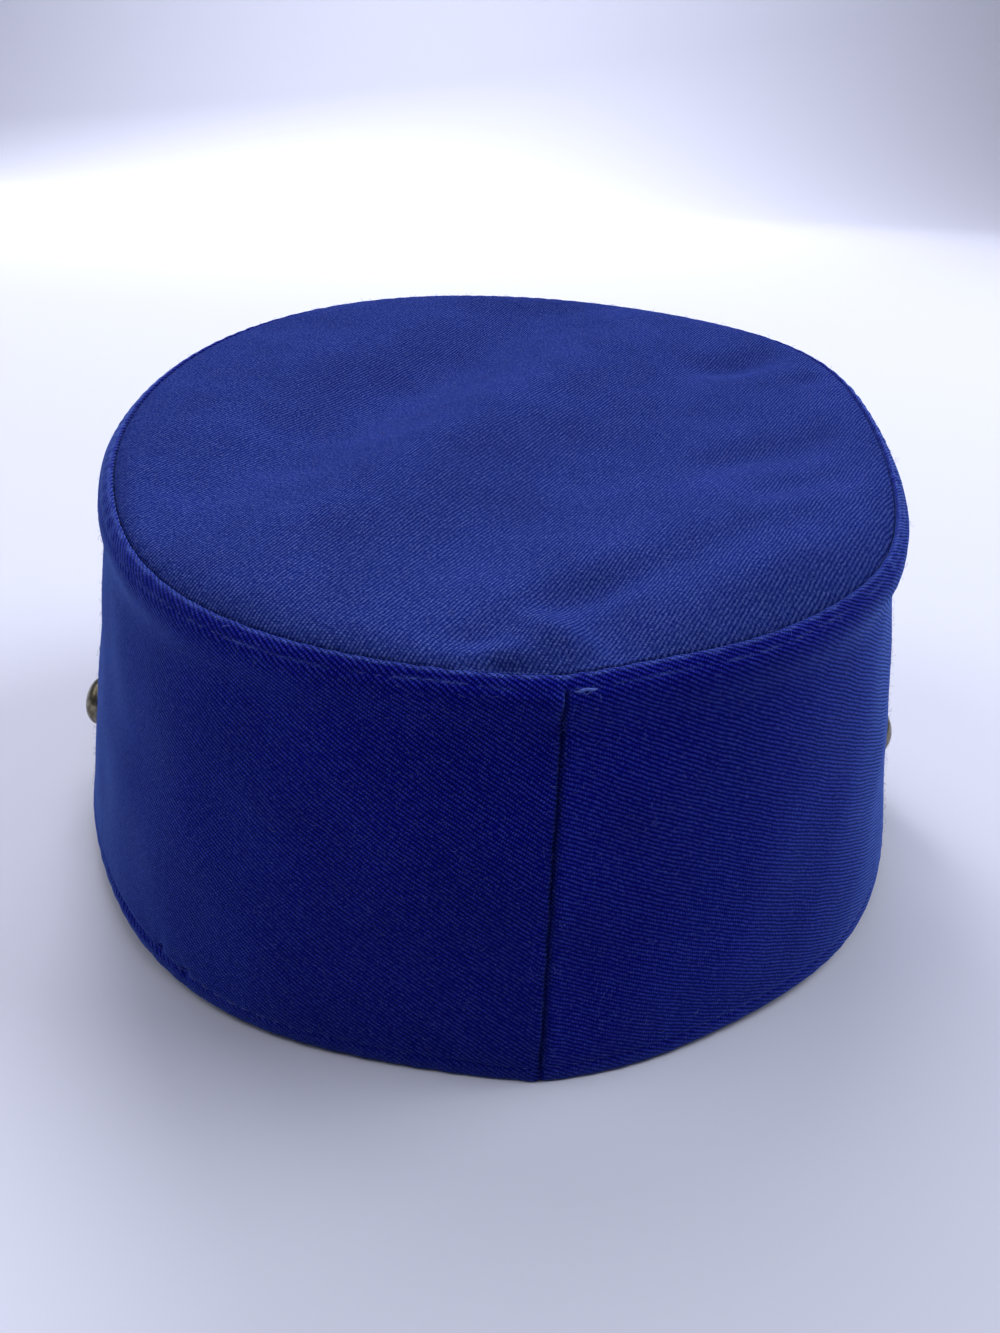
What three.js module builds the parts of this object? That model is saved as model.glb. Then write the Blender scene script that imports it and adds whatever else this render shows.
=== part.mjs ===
// Conductor's hat: a soft twill pillbox crown, a short stiff peak, and a front strap held by two domed buttons.
//
// Millimetres, +Z up. The hat is drawn upright on its own base plane, with its back towards +Y and its
// peak towards -Y. It is then tipped back by REST.tilt, so that it lies on the back of its hem and on the
// front edge of its peak, as it does on a table. The origin is the bottom centre of its box.
//
// Angles round the hat are in degrees, from the centre of the back (+Y) towards +X.

import * as THREE from "three";

// ---------------------------------------------------------------- driving dimensions

const HEM = { halfWidth: 90, halfLength: 97.5, round: 0.4 };
const RIM = { halfWidth: 81, halfLength: 87.5, shiftX: -1, shiftY: -2 };
const HEIGHT = { back: 70, front: 87, sideFall: 0.6 };
const REST = { tilt: 5.5 };
const SEAM = { at: -4, spread: 14, rim: 1, hem: 2.2 };
const BAND = { wall: 2.4, tuck: 1.5, tuckDepth: 4.5, allowance: 4.5, steps: 96 };
const ROLL = { depth: 3, groove: 3.2, gap: 0.3 };
const DISC = { wall: 2, flange: 7, flangeWall: 1.6, puff: 1.2, puffReach: 3, foldMargin: 6 };
const PEAK = { halfSpan: 62, levelSpan: 26, reach: 45, wall: 1.8, flange: 8, camber: 2.2, fit: 0.3 };
const STRAP = { width: 11.5, wall: 1, height: 8, fit: 0.25 };
const BUTTON = { radius: 6.3, rise: 4.4, skirt: 0.8, leftAt: 88.5, rightAt: -85.3, sides: 28, fit: 0.25 };

// Where the cloth stands out from a plain oval, or falls short of it: at the rim and at the hem, and how
// much further than elsewhere the wall is drawn in below the rim.
const BULGES = [
  { at: 180, spread: 24, rim: -2.0, hem: 0.0, tuck: 0.0 },
  { at: -125, spread: 24, rim: 7.5, hem: 0.0, tuck: 0.3 },
  { at: -78, spread: 20, rim: -0.5, hem: 4.0, tuck: 1.0 },
  { at: -48, spread: 18, rim: 1.5, hem: 3.4, tuck: 0.3 },
  { at: -13, spread: 9, rim: -1.0, hem: 0.5, tuck: 0.0 },
  { at: 10, spread: 12, rim: 0.0, hem: -1.0, tuck: 0.0 },
  { at: 38, spread: 22, rim: 3.0, hem: 3.0, tuck: 0.0 },
  { at: 80, spread: 20, rim: -0.5, hem: 2.0, tuck: 0.0 },
];

// Where the top seam dips below its plane (or, where the drop is negative, stands above it).
const RIM_DIPS = [
  { at: -4, spread: 9, drop: 0.4 },
  { at: 52, spread: 16, drop: 0.4 },
  { at: 95, spread: 20, drop: 0.8 },
  { at: -62, spread: 16, drop: 0.6 },
  { at: -110, spread: 20, drop: -1.0 },
];

// Soft folds in the disc: long bells that lift or sink the cloth, turned from +Y towards +X.
const TOP_FOLDS = [
  { x: -5, y: -12, turn: 23, length: 62, width: 16, lift: 1.0 },
  { x: 27, y: -24, turn: 23, length: 48, width: 18, lift: -1.2 },
  { x: -57, y: -36, turn: -65, length: 18, width: 7, lift: -1.5 },
  { x: -62, y: 11, turn: -40, length: 14, width: 6, lift: -0.7 },
  { x: -36, y: 52, turn: 10, length: 12, width: 6, lift: -0.7 },
  { x: -6, y: 68, turn: -75, length: 12, width: 6, lift: -0.9 },
];

// ---------------------------------------------------------------- small helpers

const radians = (degrees) => (degrees * Math.PI) / 180;
const mix = (a, b, t) => a + (b - a) * t;
const clamp01 = (t) => Math.min(1, Math.max(0, t));
const smooth = (t) => clamp01(t) ** 2 * (3 - 2 * clamp01(t));
const wrap = (degrees) => ((((degrees + 180) % 360) + 360) % 360) - 180;
const bell = (offset, spread) => Math.exp(-((offset / spread) ** 2));
const range = (count) => Array.from({ length: count }, (_, i) => i);

// ---------------------------------------------------------------- the shape of the crown

function ovalRadius(angle, halfWidth, halfLength) {
  const a = radians(angle);
  return 1 / Math.hypot(Math.sin(a) / halfWidth, Math.cos(a) / halfLength);
}

function bulge(angle, column) {
  return BULGES.reduce((sum, row) => sum + row[column] * bell(wrap(angle - row.at), row.spread), 0);
}

function seamCorner(angle, size) {
  return size * Math.exp(-Math.abs(wrap(angle - SEAM.at)) / SEAM.spread);
}

// A point at a distance from the hat's axis, at a height above the base plane.
function polar(angle, radius, height) {
  return new THREE.Vector3(radius * Math.sin(radians(angle)), radius * Math.cos(radians(angle)), height);
}

function hemPoint(angle) {
  const radius = ovalRadius(angle, HEM.halfWidth, HEM.halfLength);
  return polar(angle, radius + bulge(angle, "hem") + seamCorner(angle, SEAM.hem), 0);
}

function dip(angle) {
  return RIM_DIPS.reduce((sum, row) => sum + row.drop * bell(wrap(angle - row.at), row.spread), 0);
}

// The plane that the top seam follows.
function topPlane(x, y) {
  const forward = (HEM.halfLength - y) / (2 * HEM.halfLength);
  return mix(HEIGHT.back, HEIGHT.front, forward) - (HEIGHT.sideFall * x) / HEM.halfWidth;
}

// A point near the top seam: inset from the rim's widest line, at a drop below the seam.
function rimPoint(angle, inset, drop) {
  const radius = ovalRadius(angle, RIM.halfWidth - inset, RIM.halfLength - inset);
  const point = polar(angle, radius + bulge(angle, "rim") + seamCorner(angle, SEAM.rim), 0);
  point.add(new THREE.Vector3(RIM.shiftX, RIM.shiftY, 0));
  point.z = topPlane(point.x, point.y) - dip(angle) - drop;
  return point;
}

// A point of the band's wall: part is 0 at the hem and 1 at the rim's widest line.
function wallPoint(angle, part, inset) {
  const point = hemPoint(angle).lerp(rimPoint(angle, 0, ROLL.depth), part);
  const below = (1 - part) * HEIGHT.back;
  const tuck = (BAND.tuck + bulge(angle, "tuck")) * (1 - bell(below, BAND.tuckDepth)) * part;
  return point.sub(polar(angle, tuck + inset, 0));
}

// The same, at a height in millimetres above the base plane.
function wallAt(angle, height, inset) {
  return wallPoint(angle, height / rimPoint(angle, 0, ROLL.depth).z, inset);
}

function wallNormal(angle, height) {
  const round = wallAt(angle - 1, height, 0).sub(wallAt(angle + 1, height, 0));
  const up = wallAt(angle, height + 1, 0).sub(wallAt(angle, height - 1, 0));
  return round.cross(up).normalize();
}

function fold(x, y) {
  return TOP_FOLDS.reduce((sum, row) => {
    const a = radians(row.turn);
    const along = (x - row.x) * Math.sin(a) + (y - row.y) * Math.cos(a);
    const across = (x - row.x) * Math.cos(a) - (y - row.y) * Math.sin(a);
    return sum + row.lift * bell(along, row.length) * bell(across, row.width);
  }, 0);
}

// A point of the disc's upper face: part is 0 at its centre and 1 at the seam.
function discPoint(angle, part, drop) {
  const edge = rimPoint(angle, ROLL.groove + ROLL.gap, 0);
  const centre = new THREE.Vector3(RIM.shiftX, RIM.shiftY, 0);
  const toEdge = edge.distanceTo(new THREE.Vector3(centre.x, centre.y, edge.z)) * (1 - part);
  const point = centre.lerp(new THREE.Vector3(edge.x, edge.y, 0), part);
  const puff = DISC.puff * (1 - Math.exp(-toEdge / DISC.puffReach));
  const folds = fold(point.x, point.y) * (1 - bell(toEdge, DISC.foldMargin));
  point.z = topPlane(point.x, point.y) - dip(angle) * part ** 3 + puff + folds - drop;
  return point;
}

// ---------------------------------------------------------------- closed meshes from rows of points

function solid(points, triangles) {
  const volume = triangles.reduce((sum, [a, b, c]) => {
    return sum + points[a].dot(new THREE.Vector3().crossVectors(points[b], points[c]));
  }, 0);
  const facing = volume < 0 ? triangles.map(([a, b, c]) => [a, c, b]) : triangles;
  const geometry = new THREE.BufferGeometry().setFromPoints(points);
  geometry.setIndex(facing.flat());
  geometry.computeVertexNormals();
  return geometry;
}

function quad(a, b, c, d) {
  return [[a, b, c], [a, c, d]];
}

// Loops of equal length, joined one to the next and the last to the first.
function ringSolid(loops) {
  const size = loops[0].length;
  const at = (j, i) => (j % loops.length) * size + (i % size);
  const triangles = range(loops.length).flatMap((j) =>
    range(size).flatMap((i) => quad(at(j, i), at(j, i + 1), at(j + 1, i + 1), at(j + 1, i))));
  return solid(loops.flat(), triangles);
}

// Rings from one pole to the other.
function poleSolid(firstPole, rings, lastPole) {
  const size = rings[0].length;
  const at = (j, i) => 1 + j * size + (i % size);
  const last = 1 + rings.length * size;
  const sides = range(rings.length - 1).flatMap((j) =>
    range(size).flatMap((i) => quad(at(j, i), at(j, i + 1), at(j + 1, i + 1), at(j + 1, i))));
  const firstFan = range(size).map((i) => [0, at(0, i + 1), at(0, i)]);
  const lastFan = range(size).map((i) => [last, at(rings.length - 1, i), at(rings.length - 1, i + 1)]);
  return solid([firstPole, ...rings.flat(), lastPole], [...firstFan, ...sides, ...lastFan]);
}

// Stations along a strip, each with an outer row and an inner row of points, closed at both ends.
function stripSolid(stations) {
  const width = stations[0].outer.length;
  const loops = stations.map(({ outer, inner }) => [...outer, ...[...inner].reverse()]);
  const size = 2 * width;
  const at = (j, i) => j * size + (i % size);
  const skin = range(loops.length - 1).flatMap((j) =>
    range(size).flatMap((i) => quad(at(j, i), at(j, i + 1), at(j + 1, i + 1), at(j + 1, i))));
  const end = (j) => range(width - 1).flatMap((i) => quad(at(j, i), at(j, size - 1 - i), at(j, size - 2 - i), at(j, i + 1)));
  const flip = (list) => list.map(([a, b, c]) => [a, c, b]);
  return solid(loops.flat(), [...skin, ...end(0), ...flip(end(loops.length - 1))]);
}

const bandAngles = range(BAND.steps).map((i) => SEAM.at + (i * 360) / BAND.steps);

// ---------------------------------------------------------------- the pieces

// The band: outer wall from hem to rim, rolled over to the seam, then the turned-in edge and the inner wall.
function crownSide() {
  const outerParts = [0.02, 0.15, 0.35, 0.55, 0.72, 0.84, 0.9, 0.95, 1];
  const innerParts = [0.9, 0.7, 0.45, 0.2, 0.02];
  const rollSteps = [{ inset: 0.9, drop: 1.1 }, { inset: 1.8, drop: 0.4 }, { inset: 2.8, drop: 0 }];
  const loops = bandAngles.map((angle) => [
    wallPoint(angle, 0, HEM.round),
    ...outerParts.map((part) => wallPoint(angle, part, 0)),
    ...rollSteps.map(({ inset, drop }) => rimPoint(angle, inset, drop)),
    rimPoint(angle, ROLL.groove, 0.6),
    rimPoint(angle, ROLL.groove, BAND.allowance),
    ...innerParts.map((part) => wallPoint(angle, part, BAND.wall)),
    wallPoint(angle, 0, BAND.wall - HEM.round),
  ]);
  return ringSolid(loops);
}

// The disc: its soft upper face, the edge in the seam, the turned-down allowance and the lower face.
function crownTop() {
  const upperParts = [0.2, 0.4, 0.58, 0.73, 0.84, 0.91, 0.96, 0.985, 1];
  const lowerParts = [0.88, 0.6, 0.3];
  const outer = ROLL.groove + ROLL.gap;
  const inner = outer + DISC.flangeWall;
  const ring = (place) => bandAngles.map(place);
  const rings = [
    ...upperParts.map((part) => ring((angle) => discPoint(angle, part, 0))),
    ring((angle) => rimPoint(angle, outer, 0.6)),
    ring((angle) => rimPoint(angle, outer, DISC.flange)),
    ring((angle) => rimPoint(angle, inner, DISC.flange)),
    ring((angle) => rimPoint(angle, inner, DISC.wall)),
    ...lowerParts.map((part) => ring((angle) => discPoint(angle, part, DISC.wall))),
  ];
  return poleSolid(discPoint(0, 0, 0), rings, discPoint(0, 0, DISC.wall));
}

// The lowest point of the hem once the hat is tipped back: the corner of the back seam.
const restLine = hemPoint(SEAM.at).y;

// The table's height in the upright frame, at a distance along the hat.
function tableHeight(y) {
  return (y - restLine) * Math.tan(radians(REST.tilt));
}

// The peak: a flange inside the band, a fold under the hem, and a cambered blade whose edge lies on the table.
function peak() {
  const bladeSteps = 6;
  const stations = range(33).map((j) => {
    const turn = mix(-1, 1, j / 32);
    const angle = 180 + turn * PEAK.halfSpan;
    const half = PEAK.wall / 2;
    const reach = PEAK.reach * Math.max(0.03, 1 - Math.abs(turn) ** 2.4) ** 0.75;
    const inset = BAND.wall + PEAK.fit + half;
    const top = wallAt(angle, PEAK.flange, inset);
    const root = wallAt(angle, 0, inset).setZ(-0.2);
    const bend = wallAt(angle, 0, inset - PEAK.wall).setZ(-PEAK.fit - PEAK.wall);
    const edge = bend.clone().add(polar(angle, reach, 0));
    const level = 1 - smooth((Math.abs(turn) * PEAK.halfSpan - PEAK.levelSpan) / (PEAK.halfSpan - PEAK.levelSpan));
    edge.z = mix(bend.z - 0.05 * reach, tableHeight(edge.y) + half, level);
    const blade = range(bladeSteps).map((k) => {
      const part = (k + 1) / bladeSteps;
      const point = bend.clone().lerp(edge, part);
      point.z += PEAK.camber * Math.sin(Math.PI * part) * (reach / PEAK.reach);
      return point;
    });
    const spine = [top, root, bend, ...blade];
    return offsetRows(spine, polar(angle, 1, 0), half);
  });
  return stripSolid(stations);
}

// Two rows of points on either side of a spine that lies in the plane of an outward direction and +Z.
function offsetRows(spine, outward, half) {
  const side = (sign) => spine.map((point, k) => {
    const before = spine[Math.max(0, k - 1)];
    const after = spine[Math.min(spine.length - 1, k + 1)];
    const run = after.clone().sub(before);
    const along = run.dot(outward);
    const normal = outward.clone().multiplyScalar(-run.z).add(new THREE.Vector3(0, 0, along)).normalize();
    return point.clone().addScaledVector(normal, sign * half);
  });
  return { outer: side(1), inner: side(-1) };
}

// The strap lies on the band from button to button round the front, and its ends are round.
function frontStrap() {
  const half = STRAP.width / 2;
  const first = BUTTON.leftAt - degreesPer(BUTTON.leftAt, half - 1);
  const last = 360 + BUTTON.rightAt + degreesPer(BUTTON.rightAt, half - 1);
  const tip = degreesPer(BUTTON.leftAt, half);
  const tipParts = [0.02, 0.12, 0.35, 0.65, 1];
  const middle = range(43).map((i) => mix(first + tip, last - tip, (i + 1) / 44));
  const angles = [
    ...tipParts.map((part) => first + tip * part),
    ...middle,
    ...[...tipParts].reverse().map((part) => last - tip * part),
  ];
  const stations = angles.map((angle) => {
    const part = clamp01(Math.min(angle - first, last - angle) / tip);
    const reach = half * Math.sqrt(1 - (1 - part) ** 2);
    const heights = [-reach, 0, reach].map((rise) => STRAP.height + rise);
    return {
      outer: heights.map((height) => wallAt(angle, height, -STRAP.fit - STRAP.wall)),
      inner: heights.map((height) => wallAt(angle, height, -STRAP.fit)),
    };
  });
  return stripSolid(stations);
}

// The turn round the hat that a length along the wall takes at an angle.
function degreesPer(angle, length) {
  const step = wallAt(angle, STRAP.height, 0).distanceTo(wallAt(angle + 1, STRAP.height, 0));
  return length / step;
}

// A domed button: flat back, short skirt and a domed face.
function buttonShape() {
  const { radius, rise, skirt } = BUTTON;
  const domeSteps = 6;
  const profile = [
    new THREE.Vector2(0, 0),
    new THREE.Vector2(radius - 0.6, 0),
    new THREE.Vector2(radius, 0.5),
    ...range(domeSteps + 1).map((k) => {
      const a = radians((90 * k) / domeSteps);
      return new THREE.Vector2(radius * Math.cos(a), skirt + (rise - skirt) * Math.sin(a));
    }),
  ];
  profile[profile.length - 1].x = 0;
  return new THREE.LatheGeometry(profile, BUTTON.sides);
}

// ---------------------------------------------------------------- assembly

const twill = new THREE.MeshStandardMaterial({ color: 0x1f3a9c, roughness: 0.9, metalness: 0 });
const vinyl = new THREE.MeshStandardMaterial({ color: 0x111113, roughness: 0.25, metalness: 0 });
const brass = new THREE.MeshStandardMaterial({ color: 0x8f8263, roughness: 0.35, metalness: 1 });

function piece(name, geometry, material) {
  const mesh = new THREE.Mesh(geometry, material);
  mesh.name = name;
  return mesh;
}

function placedButton(name, angle) {
  const mesh = piece(name, buttonShape(), brass);
  const normal = wallNormal(angle, STRAP.height);
  const stand = STRAP.fit + STRAP.wall + BUTTON.fit;
  mesh.position.copy(wallAt(angle, STRAP.height, 0)).addScaledVector(normal, stand);
  mesh.quaternion.setFromUnitVectors(new THREE.Vector3(0, 1, 0), normal);
  return mesh;
}

const hat = new THREE.Group();
hat.add(
  piece("crown_side", crownSide(), twill),
  piece("crown_top", crownTop(), twill),
  piece("peak", peak(), vinyl),
  piece("front_strap", frontStrap(), vinyl),
  placedButton("button_left", BUTTON.leftAt),
  placedButton("button_right", BUTTON.rightAt),
);
hat.rotation.x = -radians(REST.tilt);

const box = new THREE.Box3().setFromObject(hat, true);
const middle = box.getCenter(new THREE.Vector3());
hat.position.set(-middle.x, -middle.y, -box.min.z);

const part = new THREE.Group();
part.add(hat);

export default part;
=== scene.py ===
"""Dresses a conductor's hat: a soft twill crown, a stiff peak, a front strap and two domed buttons.

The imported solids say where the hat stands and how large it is. The crown, peak, strap and buttons are
drawn again here from the same sizes, with their cloth, seams, folds and edges. Lengths in the classes are in
millimetres, in the hat's own upright frame: +Z up, the back at +Y and the peak at -Y. Angles round the hat
are in degrees from the centre of the back towards +X. Seat carries the points to the frame of the solids,
in metres.
"""

import logging  # noqa: E402
import math  # noqa: E402
from collections.abc import Callable, Sequence  # noqa: E402
from dataclasses import dataclass  # noqa: E402
from enum import Enum  # noqa: E402
from functools import partial  # noqa: E402
from typing import Any  # noqa: E402

import bpy  # noqa: E402
import numpy as np  # noqa: E402
from mathutils import Matrix, Vector  # noqa: E402


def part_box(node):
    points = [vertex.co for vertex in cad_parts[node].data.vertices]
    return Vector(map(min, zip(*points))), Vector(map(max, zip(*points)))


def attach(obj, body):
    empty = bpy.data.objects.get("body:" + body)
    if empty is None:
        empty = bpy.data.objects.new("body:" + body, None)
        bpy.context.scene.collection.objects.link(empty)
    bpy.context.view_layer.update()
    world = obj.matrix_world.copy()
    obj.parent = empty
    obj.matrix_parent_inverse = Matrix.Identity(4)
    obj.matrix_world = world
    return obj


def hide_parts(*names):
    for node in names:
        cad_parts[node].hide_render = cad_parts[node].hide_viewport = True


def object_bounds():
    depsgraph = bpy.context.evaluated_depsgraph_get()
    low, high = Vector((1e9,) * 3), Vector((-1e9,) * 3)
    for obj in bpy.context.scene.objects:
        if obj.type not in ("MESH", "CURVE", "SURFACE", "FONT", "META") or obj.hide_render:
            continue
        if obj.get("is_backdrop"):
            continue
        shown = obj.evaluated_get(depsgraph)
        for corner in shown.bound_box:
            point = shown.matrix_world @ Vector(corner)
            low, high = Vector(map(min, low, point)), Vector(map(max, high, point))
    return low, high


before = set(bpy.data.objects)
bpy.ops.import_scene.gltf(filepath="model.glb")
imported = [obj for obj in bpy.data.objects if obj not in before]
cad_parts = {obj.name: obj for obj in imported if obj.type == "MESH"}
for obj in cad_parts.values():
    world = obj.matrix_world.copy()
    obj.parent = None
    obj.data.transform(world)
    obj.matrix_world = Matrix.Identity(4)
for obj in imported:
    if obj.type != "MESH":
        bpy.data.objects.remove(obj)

log = logging.getLogger("hat")

MM = 0.001
FULL_TURN = 360.0
ROOT = "root"
# Names on the meshes: a cloth's flat places, how much it is rubbed, with painted shade below 0 deep in the
# back seam, and the way that it faces at its seams.
WEAVE = "weave"
WEAR_AND_SEAM_SHADE = "wear_and_seam_shade"
OUTWARD = "outward"
MATH = "ShaderNodeMath"
VECTOR_MATH = "ShaderNodeVectorMath"

Points = np.ndarray
Colour = tuple[float, float, float, float]
Piece = bpy.types.Object
Material = bpy.types.Material
Tree = bpy.types.NodeTree
Node = bpy.types.Node
# What feeds a node's input: a node, for its first output, a socket or a plain value.
Source = Any
# What add_node becomes once it knows its tree.
Adder = Callable[..., Node]


class Slot(Enum):
    """The material slots."""

    BAND = "twill_band"
    TOP = "twill_top"
    PEAK = "peak_vinyl"
    STRAP = "strap_vinyl"
    BUTTON = "button_metal"


# ---------------------------------------------------------------- small helpers


def linear(colour: str) -> Colour:
    """Turns an sRGB colour into the linear one that a shader takes.

    Args:
        colour: A hex value, such as "#1f3a9c".

    Returns:
        Red, green, blue and an alpha of 1.
    """
    parts = (int(colour[i : i + 2], 16) / 255 for i in (1, 3, 5))
    red, green, blue = (c / 12.92 if c <= 0.04045 else ((c + 0.055) / 1.055) ** 2.4 for c in parts)
    return red, green, blue, 1.0


def add_node(
    tree: Tree,
    kind: str,
    inputs: dict[Any, Any] | Sequence[Any] = (),
    stops: dict[float, str] | None = None,
    **settings: Any,
) -> Node:
    """Adds a node, with its settings, its values and its links.

    Args:
        tree: The tree that takes the node.
        kind: The node's type, such as "ShaderNodeMath".
        inputs: What feeds each input, in order, or for an input's name or number.
        stops: A colour ramp's sRGB colours, each at its place.
        settings: The node's own properties.

    Returns:
        The node.
    """
    node = tree.nodes.new(kind)
    for name, value in settings.items():
        setattr(node, name, value)
    for number, (place, colour) in enumerate((stops or {}).items()):
        elements = node.color_ramp.elements
        element = elements[number] if number < 2 else elements.new(place)
        element.position, element.color = place, linear(colour)
    for key, value in inputs.items() if isinstance(inputs, dict) else enumerate(inputs):
        if isinstance(value, Node):
            value = value.outputs[0]
        if isinstance(value, bpy.types.NodeSocket):
            tree.links.new(value, node.inputs[key])
        else:
            node.inputs[key].default_value = value
    return node


def wrap(degrees: Points) -> Points:
    """The same angle, from -180 up to 180 degrees."""
    return (np.asarray(degrees, float) + 180.0) % FULL_TURN - 180.0


def bell(offset: Points, spread: float) -> Points:
    """A smooth hump, 1 at no offset and 1/e at the spread."""
    return np.exp(-((np.asarray(offset, float) / spread) ** 2))


def smooth_step(value: Points) -> Points:
    """Rises smoothly from 0 to 1 as the value does."""
    t = np.clip(value, 0.0, 1.0)
    return t * t * (3.0 - 2.0 * t)


def polar(angle: Points, radius: Points, height: Points = 0.0) -> Points:
    """Points at a radius from the hat's axis and a height above its base."""
    a = np.radians(angle)
    return np.stack(np.broadcast_arrays(radius * np.sin(a), radius * np.cos(a), height), axis=-1)


def rounded_path(points: Points, cuts: int) -> Points:
    """Rounds an open path's corners by cutting each of them again and again.

    Args:
        points: The path's corners, along the first axis.
        cuts: How many times the corners are cut.

    Returns:
        The rounded path, with the same ends.
    """
    for _ in range(cuts):
        before, after = points[:-1], points[1:]
        pair = np.stack([0.75 * before + 0.25 * after, 0.25 * before + 0.75 * after], axis=1)
        points = np.concatenate([points[:1], pair.reshape(-1, *points.shape[1:]), points[-1:]])
    return points


@dataclass(frozen=True)
class Ridge:
    """A soft ridge, or a groove where its height is below 0, across a distance or round the hat."""

    at: float
    width: float
    height: float = 1.0

    def over(self, distance: Points) -> Points:
        """The rise at distances."""
        return self.height * bell(distance - self.at, self.width)

    def round(self, angle: Points) -> Points:
        """The rise at angles round the hat."""
        return self.height * bell(wrap(angle - self.at), self.width)


@dataclass(frozen=True)
class Ripple:
    """An uneven wave round the hat: many waves of several lengths, added up."""

    fewest: int
    most: int
    seed: int
    height: float = 1.0
    parts: int = 14

    def at(self, angle: Points) -> Points:
        """The wave's height at places.

        Args:
            angle: The places, in degrees, after 360 of which the wave starts again.

        Returns:
            The height at each of them.
        """
        dice = np.random.default_rng(self.seed)
        total = np.zeros_like(np.asarray(angle, float))
        for _ in range(self.parts):
            waves, phase = dice.integers(self.fewest, self.most), dice.uniform(0, 2 * math.pi)
            total += np.sin(waves * np.radians(angle) + phase)
        return self.height * total / math.sqrt(self.parts / 2)


@dataclass(frozen=True)
class Drape:
    """Soft unevenness over a cloth: waves in many directions, added up."""

    shortest: float
    longest: float
    seed: int
    height: float
    parts: int = 22

    def at(self, across: Points, along: Points) -> Points:
        """The cloth's rise at places on it.

        Args:
            across: The places' first coordinate.
            along: Their second coordinate.

        Returns:
            The rise at each of them, in millimetres.
        """
        dice = np.random.default_rng(self.seed)
        total = np.zeros(np.broadcast(across, along).shape)
        for _ in range(self.parts):
            length, turn = dice.uniform(self.shortest, self.longest), dice.uniform(0, math.pi)
            phase = dice.uniform(0, 2 * math.pi)
            run = across * math.cos(turn) + along * math.sin(turn)
            total += np.sin(2 * math.pi * run / length + phase)
        return self.height * total / math.sqrt(self.parts / 2)


# ---------------------------------------------------------------- meshes


def new_piece(
    name: str, points: Sequence[Any], faces: Sequence[Any], edges: Sequence[Any] = (), smooth: bool = True
) -> Piece:
    """Makes an object of a mesh, with its place in its mesh.

    Args:
        name: The object's name.
        points: The mesh's points, in metres.
        faces: The points of each face.
        edges: The points of each edge that no face has.
        smooth: Whether the faces are shaded smooth.

    Returns:
        The object, at the origin.
    """
    mesh = bpy.data.meshes.new(name)
    mesh.from_pydata(points, edges, faces)
    mesh.polygons.foreach_set("use_smooth", [smooth] * len(mesh.polygons))
    mesh.update()
    piece = bpy.data.objects.new(name, mesh)
    bpy.context.scene.collection.objects.link(piece)
    return piece


@dataclass
class Skin:
    """A closed skin of rows of points, each row a closed loop.

    Attributes:
        rows: Points in millimetres, as row, place in the row, and x, y, z.
        joined: Whether the last row joins the first. Otherwise each end is closed to one point.
        weave: Each point's place on the flat cloth, with one more column and, where joined, one more row.
        wear_and_seam_shade: How much each point is rubbed, up to 1.2, or, below 0, painted shade deep in the
            back seam.
    """

    rows: Points
    joined: bool = False
    weave: Points | None = None
    wear_and_seam_shade: Points | None = None

    def _quads(self) -> tuple[Points, Points]:
        """Finds the four corners of each face between the rows.

        Returns:
            The corners as points, and as row and column.
        """
        count, size = self.rows.shape[:2]
        row = np.arange(count if self.joined else count - 1)[:, None, None] + np.array([0, 0, 1, 1])
        column = np.arange(size)[None, :, None] + np.array([0, 1, 1, 0])
        corners = np.stack(np.broadcast_arrays(row, column), axis=-1).reshape(-1, 4, 2)
        return (corners[..., 0] % count) * size + corners[..., 1] % size, corners

    def build(self, name: str, seat: "Seat") -> Piece:
        """Makes the skin an object whose faces point outwards.

        Args:
            name: The object's name.
            seat: What carries the points to the frame of the solids.

        Returns:
            The object, at the origin, with its place in its mesh.
        """
        quads, corners = self._quads()
        points, faces, uvs = self.rows.reshape(-1, 3), quads.tolist(), []
        if self.weave is not None:
            uvs = self.weave[corners[..., 0], corners[..., 1]].tolist()
        if not self.joined:
            size, last = self.rows.shape[1], self.rows.shape[0] - 1
            points = np.concatenate([points, np.stack([self.rows[0].mean(0), self.rows[-1].mean(0)])])
            first_pole, last_pole = len(points) - 2, len(points) - 1
            for i in range(size):
                j = (i + 1) % size
                faces += [[first_pole, j, i], [last_pole, last * size + i, last * size + j]]
                if uvs:
                    first, final = self.weave[0], self.weave[last]
                    uvs.append([first[:-1].mean(0).tolist(), first[i + 1].tolist(), first[i].tolist()])
                    uvs.append([final[:-1].mean(0).tolist(), final[i].tolist(), final[i + 1].tolist()])
        if self._volume(points, quads) < 0:
            faces, uvs = ([row[::-1] for row in rows] for rows in (faces, uvs))
        piece = new_piece(name, seat.carry(points).tolist(), faces)
        mesh = piece.data
        if uvs:
            layer = mesh.uv_layers.new(name=WEAVE)
            layer.data.foreach_set("uv", np.array([v for uv in uvs for v in uv], float).ravel())
        if self.wear_and_seam_shade is not None:
            values = np.zeros(len(points))
            values[: self.wear_and_seam_shade.size] = self.wear_and_seam_shade.ravel()
            mesh.attributes.new(WEAR_AND_SEAM_SHADE, "FLOAT", "POINT").data.foreach_set("value", values)
        mesh.validate()
        mesh.update()
        return piece

    @staticmethod
    def _volume(points: Points, quads: Points) -> float:
        """Six times the volume inside the faces, less than 0 where they point inwards."""
        a, b, c, d = (points[quads[:, k]] for k in range(4))
        return float((a * (np.cross(b, c) + np.cross(c, d))).sum())


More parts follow.
